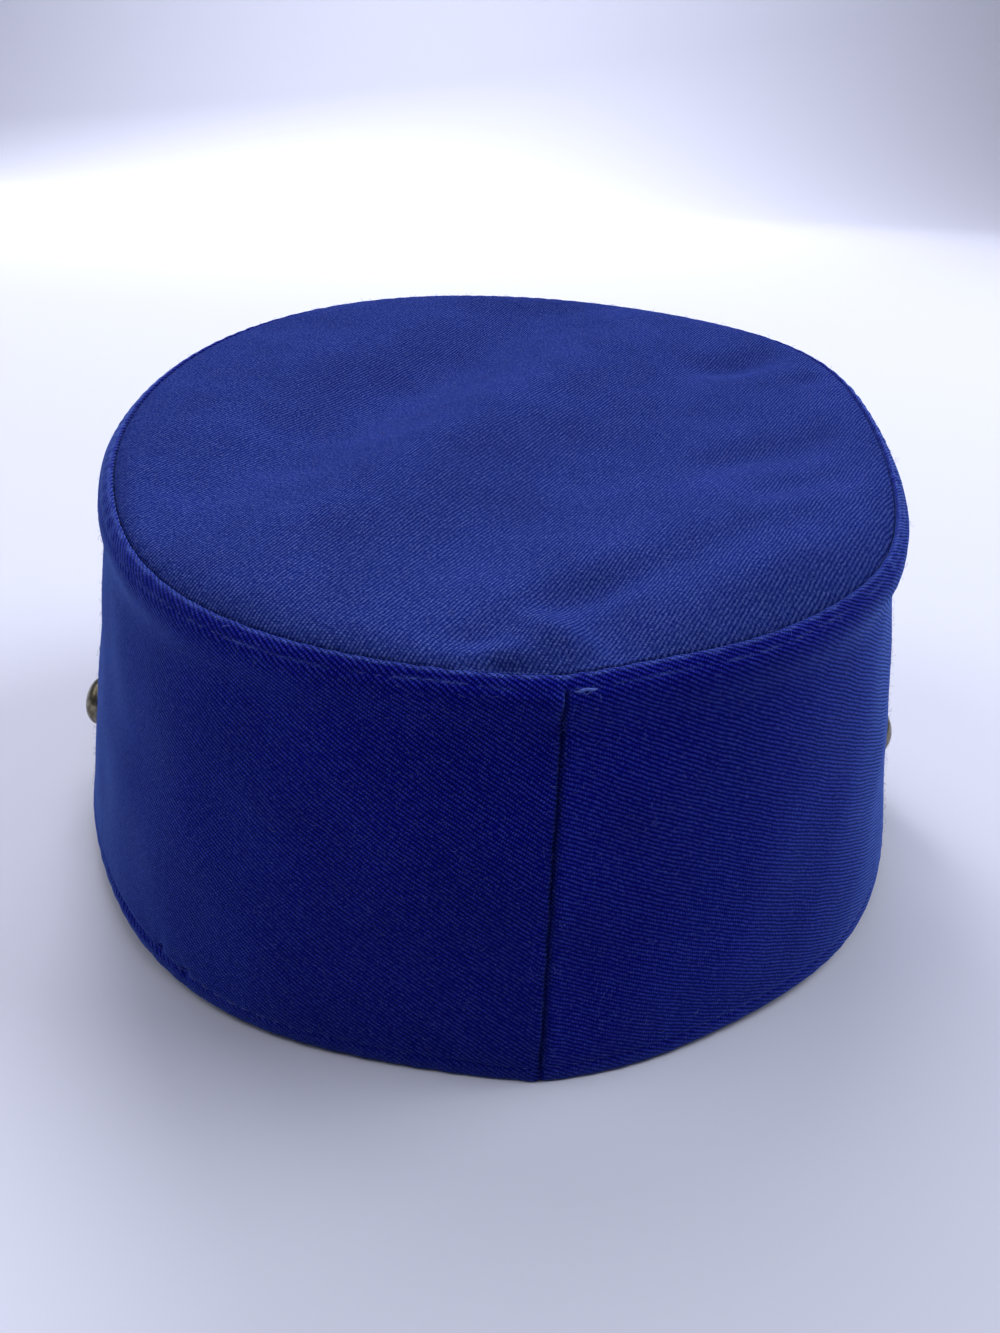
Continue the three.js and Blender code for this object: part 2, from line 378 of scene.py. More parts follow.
def angles_round(seam: float, count: int) -> Points:
    """Angles once round the hat from the back seam, close together near the seam and the pinched hem.

    Args:
        seam: The seam's angle.
        count: How many angles there are.

    Returns:
        The angles, in degrees, rising from the seam.
    """
    by_seam, by_pinches = Ridge(0.0, 2.2, 4.5), Ridge(38.0 - seam, 6.0, 2.0)
    fine = np.linspace(0, FULL_TURN, 20001)
    crowd = 1 + by_seam.round(fine) + by_pinches.round(fine)
    run = np.concatenate([[0.0], np.cumsum((crowd[1:] + crowd[:-1]) / 2)])
    return seam + np.interp(np.arange(count) * run[-1] / count, run, fine)


def surface_normals(rows: Points) -> Points:
    """Finds the outward direction at each point of a sheet.

    Args:
        rows: The sheet's rows that go up, each round the hat.

    Returns:
        A direction of length 1 at each point.
    """
    up = np.gradient(rows, axis=0)
    round_it = np.roll(rows, -1, axis=1) - np.roll(rows, 1, axis=1)
    normal = np.cross(up, round_it)
    return normal / np.linalg.norm(normal, axis=-1, keepdims=True)


def run_along(rows: Points) -> Points:
    """The distance from the first row to each point, along its column."""
    steps = np.linalg.norm(np.diff(rows, axis=0), axis=-1)
    return np.concatenate([np.zeros((1, rows.shape[1])), np.cumsum(steps, axis=0)])


def join(pieces: Sequence[Piece], name: str) -> Piece:
    """Joins pieces that stand at the origin.

    Args:
        pieces: The pieces, whose meshes aren't kept.
        name: The new object's name.

    Returns:
        One object of all their faces.
    """
    points, faces = [], []
    for piece in pieces:
        faces += [[len(points) + i for i in face.vertices] for face in piece.data.polygons]
        points += [v.co.copy() for v in piece.data.vertices]
        bpy.data.meshes.remove(piece.data)
    return new_piece(name, points, faces)


def finish_piece(
    piece: Piece, slot: Slot, material: Material | None = None, replaced: Sequence[str] = ()
) -> Piece:
    """Makes a piece ride on the hat, gives it its material where one is given, and hides what it stands for.

    Args:
        piece: The piece.
        slot: The material slot for it; not used.
        material: Its material, where its nodes haven't set one.
        replaced: The nodes that it stands for.

    Returns:
        The same piece.
    """
    if material:
        piece.data.materials.append(material)
    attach(piece, ROOT)
    if replaced:
        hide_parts(*replaced)
    log.info("%s: %d faces", piece.name, len(piece.data.polygons))
    return piece


# ---------------------------------------------------------------- finishes


def new_material(name: str) -> tuple[Material, Adder]:
    """Starts a material.

    Args:
        name: The material's name.

    Returns:
        The material, and what adds a node to its tree, which is empty.
    """
    material = bpy.data.materials.new(name)
    material.use_nodes = True
    material.node_tree.nodes.clear()
    return material, partial(add_node, material.node_tree)


def surface(material: Material, add: Adder, shader: dict[str, Any]) -> Material:
    """Gives a material its surface, from the values of the shader's inputs."""
    add("ShaderNodeOutputMaterial", {"Surface": add("ShaderNodeBsdfPrincipled", shader)})
    return material


def object_places(add: Adder, step: float) -> Node:
    """The places on a piece, with one unit for each step of so many millimetres."""
    place = add("ShaderNodeTexCoord").outputs["Object"]
    return add("ShaderNodeMapping", {"Vector": place, "Scale": (1 / (step * MM),) * 3})


@dataclass(frozen=True)
class Twill:
    """Cotton and polyester twill: fine ridges on the slant, matt, with a pale sheen painted into its colour
    towards the outline.

    Attributes:
        wale: The spacing of the ridges, in millimetres. The thread's is that of the floats along a ridge.
        slip: How far each ridge's floats are shifted against the last one's, as a share of a float.
        wobble: How far the yarns sway, in millimetres, in long bends and, less, in short ones.
        bends: How many long and short bends there are in a millimetre.
        float_form: How much higher a float's middle is than its ends, and how high these are.
        luck: How much higher the highest float is than the lowest, and how high that one is.
        relief: The height of the weave, in millimetres. The fuzz's is a share of it.
        painted_sheen: How much sheen is painted into the colour towards the outline; a higher painted_glance
            keeps it nearer to it.
        painted_sheen_form: How much more painted sheen the ridges get than the furrows, and how much these
            get.
        cleft_shade: The painted shade deep in the back seam: the share of its colour that the cloth keeps
            there.
    """

    name: str
    ridge: str
    body: str
    furrow: str
    rubbed: str = "#4c60b6"
    fleck: str = "#4c58a8"
    wale: float = 0.69
    thread: float = 0.46
    slip: float = 0.36
    wobble: float = 0.2
    bends: tuple[float, float] = (0.16, 0.9)
    short_sway: float = 0.35
    float_form: tuple[float, float] = (0.45, 0.55)
    luck: tuple[float, float] = (0.36, 0.72)
    weave_share: float = 1.0
    fuzz_share: float = 1.1
    fuzz_scale: float = 3.0
    fuzz_relief: float = 0.6
    relief: float = 0.24
    specular: float = 0.12
    sheen: float = 0.5
    sheen_colour: str = "#78a7ff"
    painted_sheen: float = 0.0
    painted_sheen_colour: str = "#5a7ad4"
    painted_glance: float = 3.5
    painted_sheen_form: tuple[float, float] = (1.7, 0.18)
    cleft_shade: float = 0.62
    cloud_scale: float = 0.05

    def build(self) -> Material:
        """Makes the material, which reads the cloth's own flat places in millimetres.

        Returns:
            The material.
        """
        material, add = new_material(self.name)
        flat = add("ShaderNodeUVMap", uv_map=WEAVE)
        height, fuzz = self._yarns(add, flat)
        colour = self._colour(add, flat, height, fuzz)
        # Painted sheen: towards the outline the colour is mixed towards a paler blue, more on the ridges than
        # in the furrows.
        facing = add("ShaderNodeLayerWeight", {"Blend": 0.5}).outputs["Facing"]
        painted_glance = add(MATH, (facing, self.painted_glance), operation="POWER")
        painted_sheen_by_height = add(MATH, (height, *self.painted_sheen_form), operation="MULTIPLY_ADD")
        wear_and_seam_shade = add("ShaderNodeAttribute", attribute_name=WEAR_AND_SEAM_SHADE).outputs["Fac"]
        # A value below 0 means the depth of the back seam. No sheen is painted there, and painted shade
        # darkens the colour.
        out_of_seam_shade = {"Value": wear_and_seam_shade, "From Min": -1.0, "From Max": 0.0, "To Min": 0.0, "To Max": 1.0}
        out_of_seam_shade = add("ShaderNodeMapRange", out_of_seam_shade)
        for share in (painted_sheen_by_height, self.painted_sheen, out_of_seam_shade):
            painted_glance = add(MATH, (painted_glance, share), operation="MULTIPLY")
        colour = add("ShaderNodeMix", {0: painted_glance, 6: colour, 7: linear(self.painted_sheen_colour)}, data_type="RGBA")
        # Painted shade: deep in the back seam the colour is darkened to cleft_shade of itself.
        shade = add(MATH, (out_of_seam_shade, 1 - self.cleft_shade, self.cleft_shade), operation="MULTIPLY_ADD")
        colour = add(VECTOR_MATH, {0: colour.outputs[2], "Scale": shade}, operation="SCALE")
        rough = add(MATH, (fuzz, self.fuzz_relief, height), operation="MULTIPLY_ADD")
        bump = add("ShaderNodeBump", {"Height": rough, "Strength": 1.0, "Distance": self.relief * MM})
        shader = {
            "Base Color": colour,
            "Normal": bump,
            "Roughness": 0.92,
            "Specular IOR Level": self.specular,
            "Sheen Weight": self.sheen,
            "Sheen Roughness": 0.3,
            "Sheen Tint": linear(self.sheen_colour),
        }
        return surface(material, add, shader)

    def _yarns(self, add: Adder, flat: Source) -> tuple[Source, Source]:
        """Draws the ridges, each a row of short floats that differ a little, and the fuzz over them.

        Args:
            add: What adds a node to the material's tree.
            flat: The places on the flat cloth, the first axis across the ridges.

        Returns:
            The height of the weave and the fuzz, each about 0 to 1.
        """
        place = flat
        for bends, sway in zip(self.bends, (self.wobble, self.short_sway * self.wobble)):
            noise = add("ShaderNodeTexNoise", {"Vector": flat, "Scale": bends, "Detail": 2.0})
            centred = add(VECTOR_MATH, (noise.outputs["Color"], (0.5, 0.5, 0.5)), operation="SUBTRACT")
            moved = add(VECTOR_MATH, {0: centred, "Scale": 4 * sway}, operation="SCALE")
            place = add(VECTOR_MATH, (place, moved), operation="ADD")
        split = add("ShaderNodeSeparateXYZ", (place,)).outputs
        across = add(MATH, (split["X"], self.wale), operation="DIVIDE")
        row = add(MATH, (across,), operation="FLOOR")
        along = add(MATH, (split["Y"], self.thread), operation="DIVIDE")
        along = add(MATH, (row, self.slip, along), operation="MULTIPLY_ADD")
        cell = add(MATH, (along,), operation="FLOOR")
        number = add("ShaderNodeCombineXYZ", (row, cell))
        chance = add("ShaderNodeTexWhiteNoise", {"Vector": number}, noise_dimensions="2D")
        height = self._hump(add, across)
        bowed = add(MATH, (self._hump(add, along), *self.float_form), operation="MULTIPLY_ADD")
        luck = add(MATH, (chance, *self.luck), operation="MULTIPLY_ADD")
        for share in (bowed, luck):
            height = add(MATH, (height, share), operation="MULTIPLY")
        fuzz = {"Vector": flat, "Scale": self.fuzz_scale, "Detail": 4.0, "Roughness": 0.7}
        return height, add("ShaderNodeTexNoise", fuzz)

    @staticmethod
    def _hump(add: Adder, value: Source) -> Source:
        """A hump for each whole step of a value, from 0 at its ends to 1 in its middle."""
        turn = add(MATH, (add(MATH, (value,), operation="FRACT"), math.pi), operation="MULTIPLY")
        return add(MATH, (turn,), operation="SINE")

    def _colour(self, add: Adder, flat: Source, height: Source, fuzz: Source) -> Source:
        """Colours the weave: dark furrows, paler ridges, pale flecks of fibre, and rubbed folds.

        Args:
            add: What adds a node to the material's tree.
            flat: The places on the flat cloth.
            height: The height of the weave.
            fuzz: The fuzz over it.

        Returns:
            The colour.
        """
        # The mean tone stays the same, whatever share the ridges and the fuzz have in it.
        tone, mean_height, mean_fuzz = 0.43, 0.48, 0.5
        tone = tone - mean_height * self.weave_share - mean_fuzz * self.fuzz_share
        for part, share in ((fuzz, self.fuzz_share), (height, self.weave_share)):
            tone = add(MATH, (part, share, tone), operation="MULTIPLY_ADD")
        # The ridges' paler, greyer blue is partly the yarn's own and partly a painted highlight; the furrows'
        # near-black is partly painted shade.
        stops = {0.12: self.furrow, 0.48: self.body, 0.9: self.ridge}
        colour = add("ShaderNodeValToRGB", (tone,), stops=stops).outputs["Color"]
        flecks = {"Value": fuzz, "From Min": 0.6, "From Max": 0.8, "To Min": 0.0, "To Max": 0.35}
        flecks = add("ShaderNodeMapRange", flecks)
        wear_and_seam_shade = add("ShaderNodeAttribute", attribute_name=WEAR_AND_SEAM_SHADE).outputs["Fac"]
        strands = add("ShaderNodeMapRange", {"Value": fuzz, "From Min": 0.4, "From Max": 0.62})
        rubbing = add(MATH, (wear_and_seam_shade, strands), operation="MULTIPLY")
        for share, over in ((flecks, self.fleck), (rubbing, self.rubbed)):
            mixed = add("ShaderNodeMix", {0: share, 6: colour, 7: linear(over)}, data_type="RGBA")
            colour = mixed.outputs[2]
        cloud = {"Vector": flat, "Scale": self.cloud_scale, "Detail": 4.0, "Roughness": 0.6}
        cloud = add("ShaderNodeTexNoise", cloud)
        clouds = {"Value": cloud, "From Min": 0.3, "From Max": 0.7, "To Min": 0.9, "To Max": 1.12}
        clouds = add("ShaderNodeMapRange", clouds)
        return add(VECTOR_MATH, {0: colour, "Scale": clouds}, operation="SCALE")


@dataclass(frozen=True)
class Yarn:
    """Spun polyester thread or loose cotton fibre: a soft, slightly lit strand with a twist along it."""

    name: str
    light: str
    dark: str
    twist: float = 0.5
    relief: float = 0.05

    def build(self) -> Material:
        """Makes the material, with strands in millimetres on object places.

        Returns:
            The material.
        """
        material, add = new_material(self.name)
        places = object_places(add, self.twist)
        strands = add("ShaderNodeTexNoise", {"Vector": places, "Scale": 1.0, "Detail": 3.0})
        bump = add("ShaderNodeBump", {"Height": strands, "Strength": 0.5, "Distance": self.relief * MM})
        shader = {
            "Base Color": add("ShaderNodeValToRGB", (strands,), stops={0.35: self.dark, 0.7: self.light}),
            "Normal": bump,
            "Roughness": 0.7,
            "Sheen Weight": 0.3,
            "Sheen Tint": linear("#b8c4f4"),
        }
        return surface(material, add, shader)


@dataclass(frozen=True)
class PatentVinyl:
    """Black patent vinyl on stiff board: a hard clear gloss over a faint leathery grain, lightly scuffed."""

    name: str
    colour: str = "#0b0b0d"
    scuffed: str = "#1b1b1f"
    grain: float = 1.1
    relief: float = 0.06

    def build(self) -> Material:
        """Makes the material, with its grain in millimetres on object places.

        Returns:
            The material.
        """
        material, add = new_material(self.name)
        places = object_places(add, self.grain)
        pebbles = add("ShaderNodeTexVoronoi", {"Vector": places, "Scale": 1.0, "Randomness": 1.0})
        scuffs = add("ShaderNodeTexNoise", {"Vector": places, "Scale": 0.12, "Detail": 6.0})
        gloss = {"Value": scuffs, "From Min": 0.3, "From Max": 0.8, "To Min": 0.16, "To Max": 0.34}
        bump = {"Height": pebbles, "Strength": 0.25, "Distance": self.relief * MM}
        shader = {
            "Base Color": add("ShaderNodeValToRGB", (scuffs,), stops={0.5: self.colour, 0.8: self.scuffed}),
            "Normal": add("ShaderNodeBump", bump),
            "Roughness": add("ShaderNodeMapRange", gloss),
            "IOR": 1.5,
            "Coat Weight": 0.6,
            "Coat Roughness": 0.08,
        }
        return surface(material, add, shader)


@dataclass(frozen=True)
class AntiqueBrass:
    """Stamped brass, darkened by age: dull olive-brown metal, brighter where it is rubbed, with fine pits."""

    name: str = "antique_brass"
    dark: str = "#5d5746"
    bright: str = "#8f8870"
    pits: float = 0.7
    relief: float = 0.05

    def build(self) -> Material:
        """Makes the material, with its pits in millimetres on object places.

        Returns:
            The material.
        """
        material, add = new_material(self.name)
        places = object_places(add, self.pits)
        stains = add("ShaderNodeTexNoise", {"Vector": places, "Scale": 0.45, "Detail": 5.0})
        fine = add("ShaderNodeTexNoise", {"Vector": places, "Scale": 2.0, "Detail": 3.0})
        gloss = {"Value": stains, "From Min": 0.3, "From Max": 0.7, "To Min": 0.42, "To Max": 0.26}
        shader = {
            "Base Color": add("ShaderNodeValToRGB", (stains,), stops={0.35: self.dark, 0.68: self.bright}),
            "Normal": add("ShaderNodeBump", {"Height": fine, "Strength": 0.3, "Distance": self.relief * MM}),
            "Roughness": add("ShaderNodeMapRange", gloss),
            "Metallic": 1.0,
        }
        return surface(material, add, shader)


# ---------------------------------------------------------------- the form of the crown


@dataclass(frozen=True)
class Bulge:
    """Where the cloth stands out from a plain oval at the rim and hem, and is drawn in more below the rim."""

    at: float
    spread: float
    rim: float = 0.0
    hem: float = 0.0
    tuck: float = 0.0


@dataclass(frozen=True)
class Fold:
    """A long soft bell in the top, turned from +Y towards +X."""

    x: float
    y: float
    turn: float
    length: float
    width: float
    lift: float

    def at(self, x: Points, y: Points) -> Points:
        """The fold's rise at places on the top.

        Args:
            x: The places' distance from the hat's axis towards +X.
            y: Their distance towards +Y.

        Returns:
            The rise at each of them.
        """
        a = math.radians(self.turn)
        along = (x - self.x) * math.sin(a) + (y - self.y) * math.cos(a)
        across = (x - self.x) * math.cos(a) - (y - self.y) * math.sin(a)
        return self.lift * bell(along, self.length) * bell(across, self.width)


@dataclass(frozen=True)
class CrownForm:
    """The shape that the crown's cloth follows, in the hat's own upright frame.

    Attributes:
        rim_x: How far the rim's middle lies from the hem's, with rim_y.
        side_fall: How much the top falls to +X.
        tilt: How far the hat leans back as it rests, in degrees.
        seam_at: The back seam's angle. Round it the cloth stands out in a soft corner, by seam_rim at the rim
            and by seam_hem at the hem.
        tuck: How far the cloth is drawn in, from tuck_depth below the rim's widest line.
        roll_depth: How far the rim's widest line lies below the top seam.
        dips: Where the top seam dips below its plane, or stands above it where the height is negative.
    """

    hem_half_width: float = 90.0
    hem_half_length: float = 97.5
    rim_half_width: float = 81.0
    rim_half_length: float = 87.5
    rim_x: float = -1.0
    rim_y: float = -2.0
    height_back: float = 70.0
    height_front: float = 87.0
    side_fall: float = 0.6
    tilt: float = 5.5
    seam_at: float = -4.0
    seam_spread: float = 14.0
    seam_rim: float = 1.0
    seam_hem: float = 2.2
    tuck: float = 1.5
    tuck_depth: float = 4.5
    roll_depth: float = 3.0
    wall_thickness: float = 2.4
    bulges: tuple[Bulge, ...] = (
        Bulge(180, 24, rim=-2.0),
        Bulge(-125, 24, rim=7.5, tuck=0.3),
        Bulge(-78, 20, rim=-0.5, hem=4.0, tuck=1.0),
        Bulge(-48, 18, rim=1.5, hem=3.4, tuck=0.3),
        Bulge(-13, 9, rim=-1.0, hem=0.5),
        Bulge(10, 12, hem=-1.0),
        Bulge(38, 22, rim=3.0, hem=3.0),
        Bulge(80, 20, rim=-0.5, hem=2.0),
    )
    dips: tuple[Ridge, ...] = (
        Ridge(-4, 9, 0.4),
        Ridge(52, 16, 0.4),
        Ridge(95, 20, 0.8),
        Ridge(-62, 16, 0.6),
        Ridge(-110, 20, -1.0),
    )

    @staticmethod
    def oval(angle: Points, half_width: float, half_length: float) -> Points:
        """The radius of an oval at angles round it."""
        a = np.radians(angle)
        return 1.0 / np.hypot(np.sin(a) / half_width, np.cos(a) / half_length)

    def swell(self, angle: Points, column: str) -> Points:
        """What the bulges add at angles round the hat, from one of their columns."""
        return sum(getattr(row, column) * bell(wrap(angle - row.at), row.spread) for row in self.bulges)

    def corner(self, angle: Points, size: float) -> Points:
        """The soft corner that the stiff back seam makes."""
        return size * np.exp(-np.abs(wrap(angle - self.seam_at)) / self.seam_spread)

    def hem(self, angle: Points) -> Points:
        """Points of the hem's outer line."""
        radius = self.oval(angle, self.hem_half_width, self.hem_half_length)
        return polar(angle, radius + self.swell(angle, "hem") + self.corner(angle, self.seam_hem))

    def dip(self, angle: Points) -> Points:
        """How far the top seam lies below its plane."""
        return sum(row.round(angle) for row in self.dips)

    def top_plane(self, x: Points, y: Points) -> Points:
        """The height of the plane that the top seam follows.

        Args:
            x: The places' distance from the hat's axis towards +X.
            y: Their distance towards +Y.

        Returns:
            The height at each of them.
        """
        forward = (self.hem_half_length - y) / (2 * self.hem_half_length)
        rise = self.height_back + (self.height_front - self.height_back) * forward
        return rise - self.side_fall * x / self.hem_half_width

    def rim(self, angle: Points, inset: float, drop: float) -> Points:
        """Points near the top seam.

        Args:
            angle: The angles round the hat.
            inset: How far in from the rim's widest line they lie.
            drop: How far below the seam they lie.

        Returns:
            The points.
        """
        radius = self.oval(angle, self.rim_half_width - inset, self.rim_half_length - inset)
        points = polar(angle, radius + self.swell(angle, "rim") + self.corner(angle, self.seam_rim))
        points = points + np.array([self.rim_x, self.rim_y, 0.0])
        points[..., 2] = self.top_plane(points[..., 0], points[..., 1]) - self.dip(angle) - drop
        return points

    def wall(self, angle: Points, part: Points, inset: float = 0.0) -> Points:
        """Points of the band.

        Args:
            angle: The angles round the hat.
            part: The places up the band, 0 at the hem and 1 at the rim's widest line.
            inset: How far in from the outer face they lie.

        Returns:
            The points.
        """
        part = np.broadcast_to(part, np.shape(angle)).astype(float)
        widest = self.rim(angle, 0.0, self.roll_depth)
        points = self.hem(angle) * (1 - part)[..., None] + widest * part[..., None]
        below = (1 - part) * self.height_back
        drawn_in = (self.tuck + self.swell(angle, "tuck")) * (1 - bell(below, self.tuck_depth)) * part
        return points - polar(angle, drawn_in + inset)

    def wall_top(self, angle: Points) -> Points:
        """The height of the rim's widest line."""
        return self.rim(angle, 0.0, self.roll_depth)[..., 2]

    def wall_at(self, angle: Points, height: Points, inset: float = 0.0) -> Points:
        """Points of the band at heights above the base."""
        return self.wall(angle, height / self.wall_top(angle), inset)

    def wall_normal(self, angle: float, height: float) -> Points:
        """The band's outward direction at a place on it.

        Args:
            angle: The place's angle round the hat.
            height: Its height above the base.

        Returns:
            A direction of length 1.
        """
        beside, past = self.wall_at(np.array([angle - 1, angle + 1]), np.array([height, height]))
        under, over = self.wall_at(np.array([angle, angle]), np.array([height - 1, height + 1]))
        normal = np.cross(beside - past, over - under)
        return normal / np.linalg.norm(normal)


@dataclass(frozen=True)
class Seat:
    """Carries points from the hat's upright frame, in millimetres, to the frame of the solids, in metres.

    Attributes:
        tilt: How far the hat leans back as it rests, in degrees.
        shift: Where its base's middle goes, in metres.
    """

    tilt: float
    shift: tuple[float, float, float]

    @classmethod
    def on_solids(cls, form: CrownForm) -> "Seat":
        """Finds where the solids stand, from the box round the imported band.

        Args:
            form: The crown's form, whose widest line lies just above its hem.

        Returns:
            The seat.
        """
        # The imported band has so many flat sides, a hem rounded by so much, and its widest line so far up.
        facets, hem_round, widest = 96, 0.4, 0.02
        angle = form.seam_at + np.arange(facets) * FULL_TURN / facets
        tipped = cls(form.tilt, (0.0, 0.0, 0.0))
        edge = np.concatenate([form.wall(angle, 0.0, hem_round), form.wall(angle, widest)])
        edge = tipped.carry(edge)
        low, high = (np.array(corner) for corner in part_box("crown_side"))
        middle_x = (low[0] + high[0] - edge[:, 0].min() - edge[:, 0].max()) / 2
        return cls(form.tilt, (middle_x, high[1] - edge[:, 1].max(), low[2] - edge[:, 2].min()))

    def carry(self, points: Points) -> Points:
        """Tips points back, as the hat rests, and moves them to their place.

        Args:
            points: The points in the hat's upright frame, in millimetres.

        Returns:
            The points in the frame of the solids, in metres.
        """
        a = math.radians(self.tilt)
        x, y, z = np.moveaxis(np.asarray(points, float) * MM, -1, 0)
        tipped = np.stack([x, y * math.cos(a) + z * math.sin(a), z * math.cos(a) - y * math.sin(a)], axis=-1)
        return tipped + np.array(self.shift)

    def direction(self, vectors: Points) -> Points:
        """Turns directions as it turns points."""
        zero = self.carry(np.zeros(3))
        return (self.carry(vectors) - zero) / MM


# ---------------------------------------------------------------- the band and the top


@dataclass(frozen=True)
class Nick:
    """A small pinch, where a hem stitch pulls the cloth in, with a wider, shallower pull round it."""

    at: float
    height: float
    size: float
    depth: float
    pull_depth: float = 0.18
    pull_length: float = 5.0
    pull_height: float = 3.2

    def relief(self, reach: Points, height: Points) -> Points:
        """Draws the nick in the cloth.

        Args:
            reach: The distance round from the nick.
            height: The distance up from the hem.

        Returns:
            The cloth's rise, which is below 0.
        """
        above = height - self.height
        pinch = bell(reach, self.size) * bell(above, self.size)
        pull = bell(reach, self.pull_length * self.size) * bell(above, self.pull_height * self.size)
        return -self.depth * pinch - self.pull_depth * self.depth * pull


@dataclass(frozen=True)
class Tension:
    """How far a row of stitches stands off the cloth: most lie sunk in it, some are looser at one place."""

    uneven: Ripple
    loose: Ridge
    sunk: float = -0.12

    def at(self, angle: Points) -> Points:
        """The distance at angles round the hat."""
        return self.sunk + self.uneven.at(angle) + self.loose.round(angle)


@dataclass(frozen=True)
class BackSeam:
    """The sunk seam at the back of the band, with a pillow of cloth on each side and a notch near its top."""

    depth: float = 1.2
    width: float = 0.42
    pillows: tuple[Ridge, ...] = (Ridge(1.5, 1.3, 0.24), Ridge(-1.5, 1.3, 0.18))
    gathers: Ripple = Ripple(3, 14, seed=9, height=0.35)
    gather_pace: float = 5.0
    wander: Ripple = Ripple(2, 9, seed=7, height=0.05)
    wander_pace: float = 6.0
    notch_beside: Ridge = Ridge(-1.5, 0.5, 0.55)
    notch_below: Ridge = Ridge(5.6, 1.3)
    at_hem: float = 0.2
    full_above: float = 6.0

    def relief(self, reach: Points, height: Points, from_ridge: Points) -> Points:
        """Draws the seam in the cloth.

        Args:
            reach: The distance round from the seam.
            height: The distance up from the hem.
            from_ridge: The distance down from the ridge at the top seam.

        Returns:
            The cloth's rise.
        """
        reach = reach + self.wander.at(height * self.wander_pace)
        full = 1.0 + self.gathers.at(height * self.gather_pace)
        seam = -self.depth * bell(reach, self.width)
        seam = seam + sum(pillow.over(reach) for pillow in self.pillows) * full
        seam = seam - self.notch_beside.over(reach) * self.notch_below.over(from_ridge)
        grown = smooth_step((height - 1.0) / (self.full_above - 1.0))
        return seam * (self.at_hem + (1 - self.at_hem) * grown)


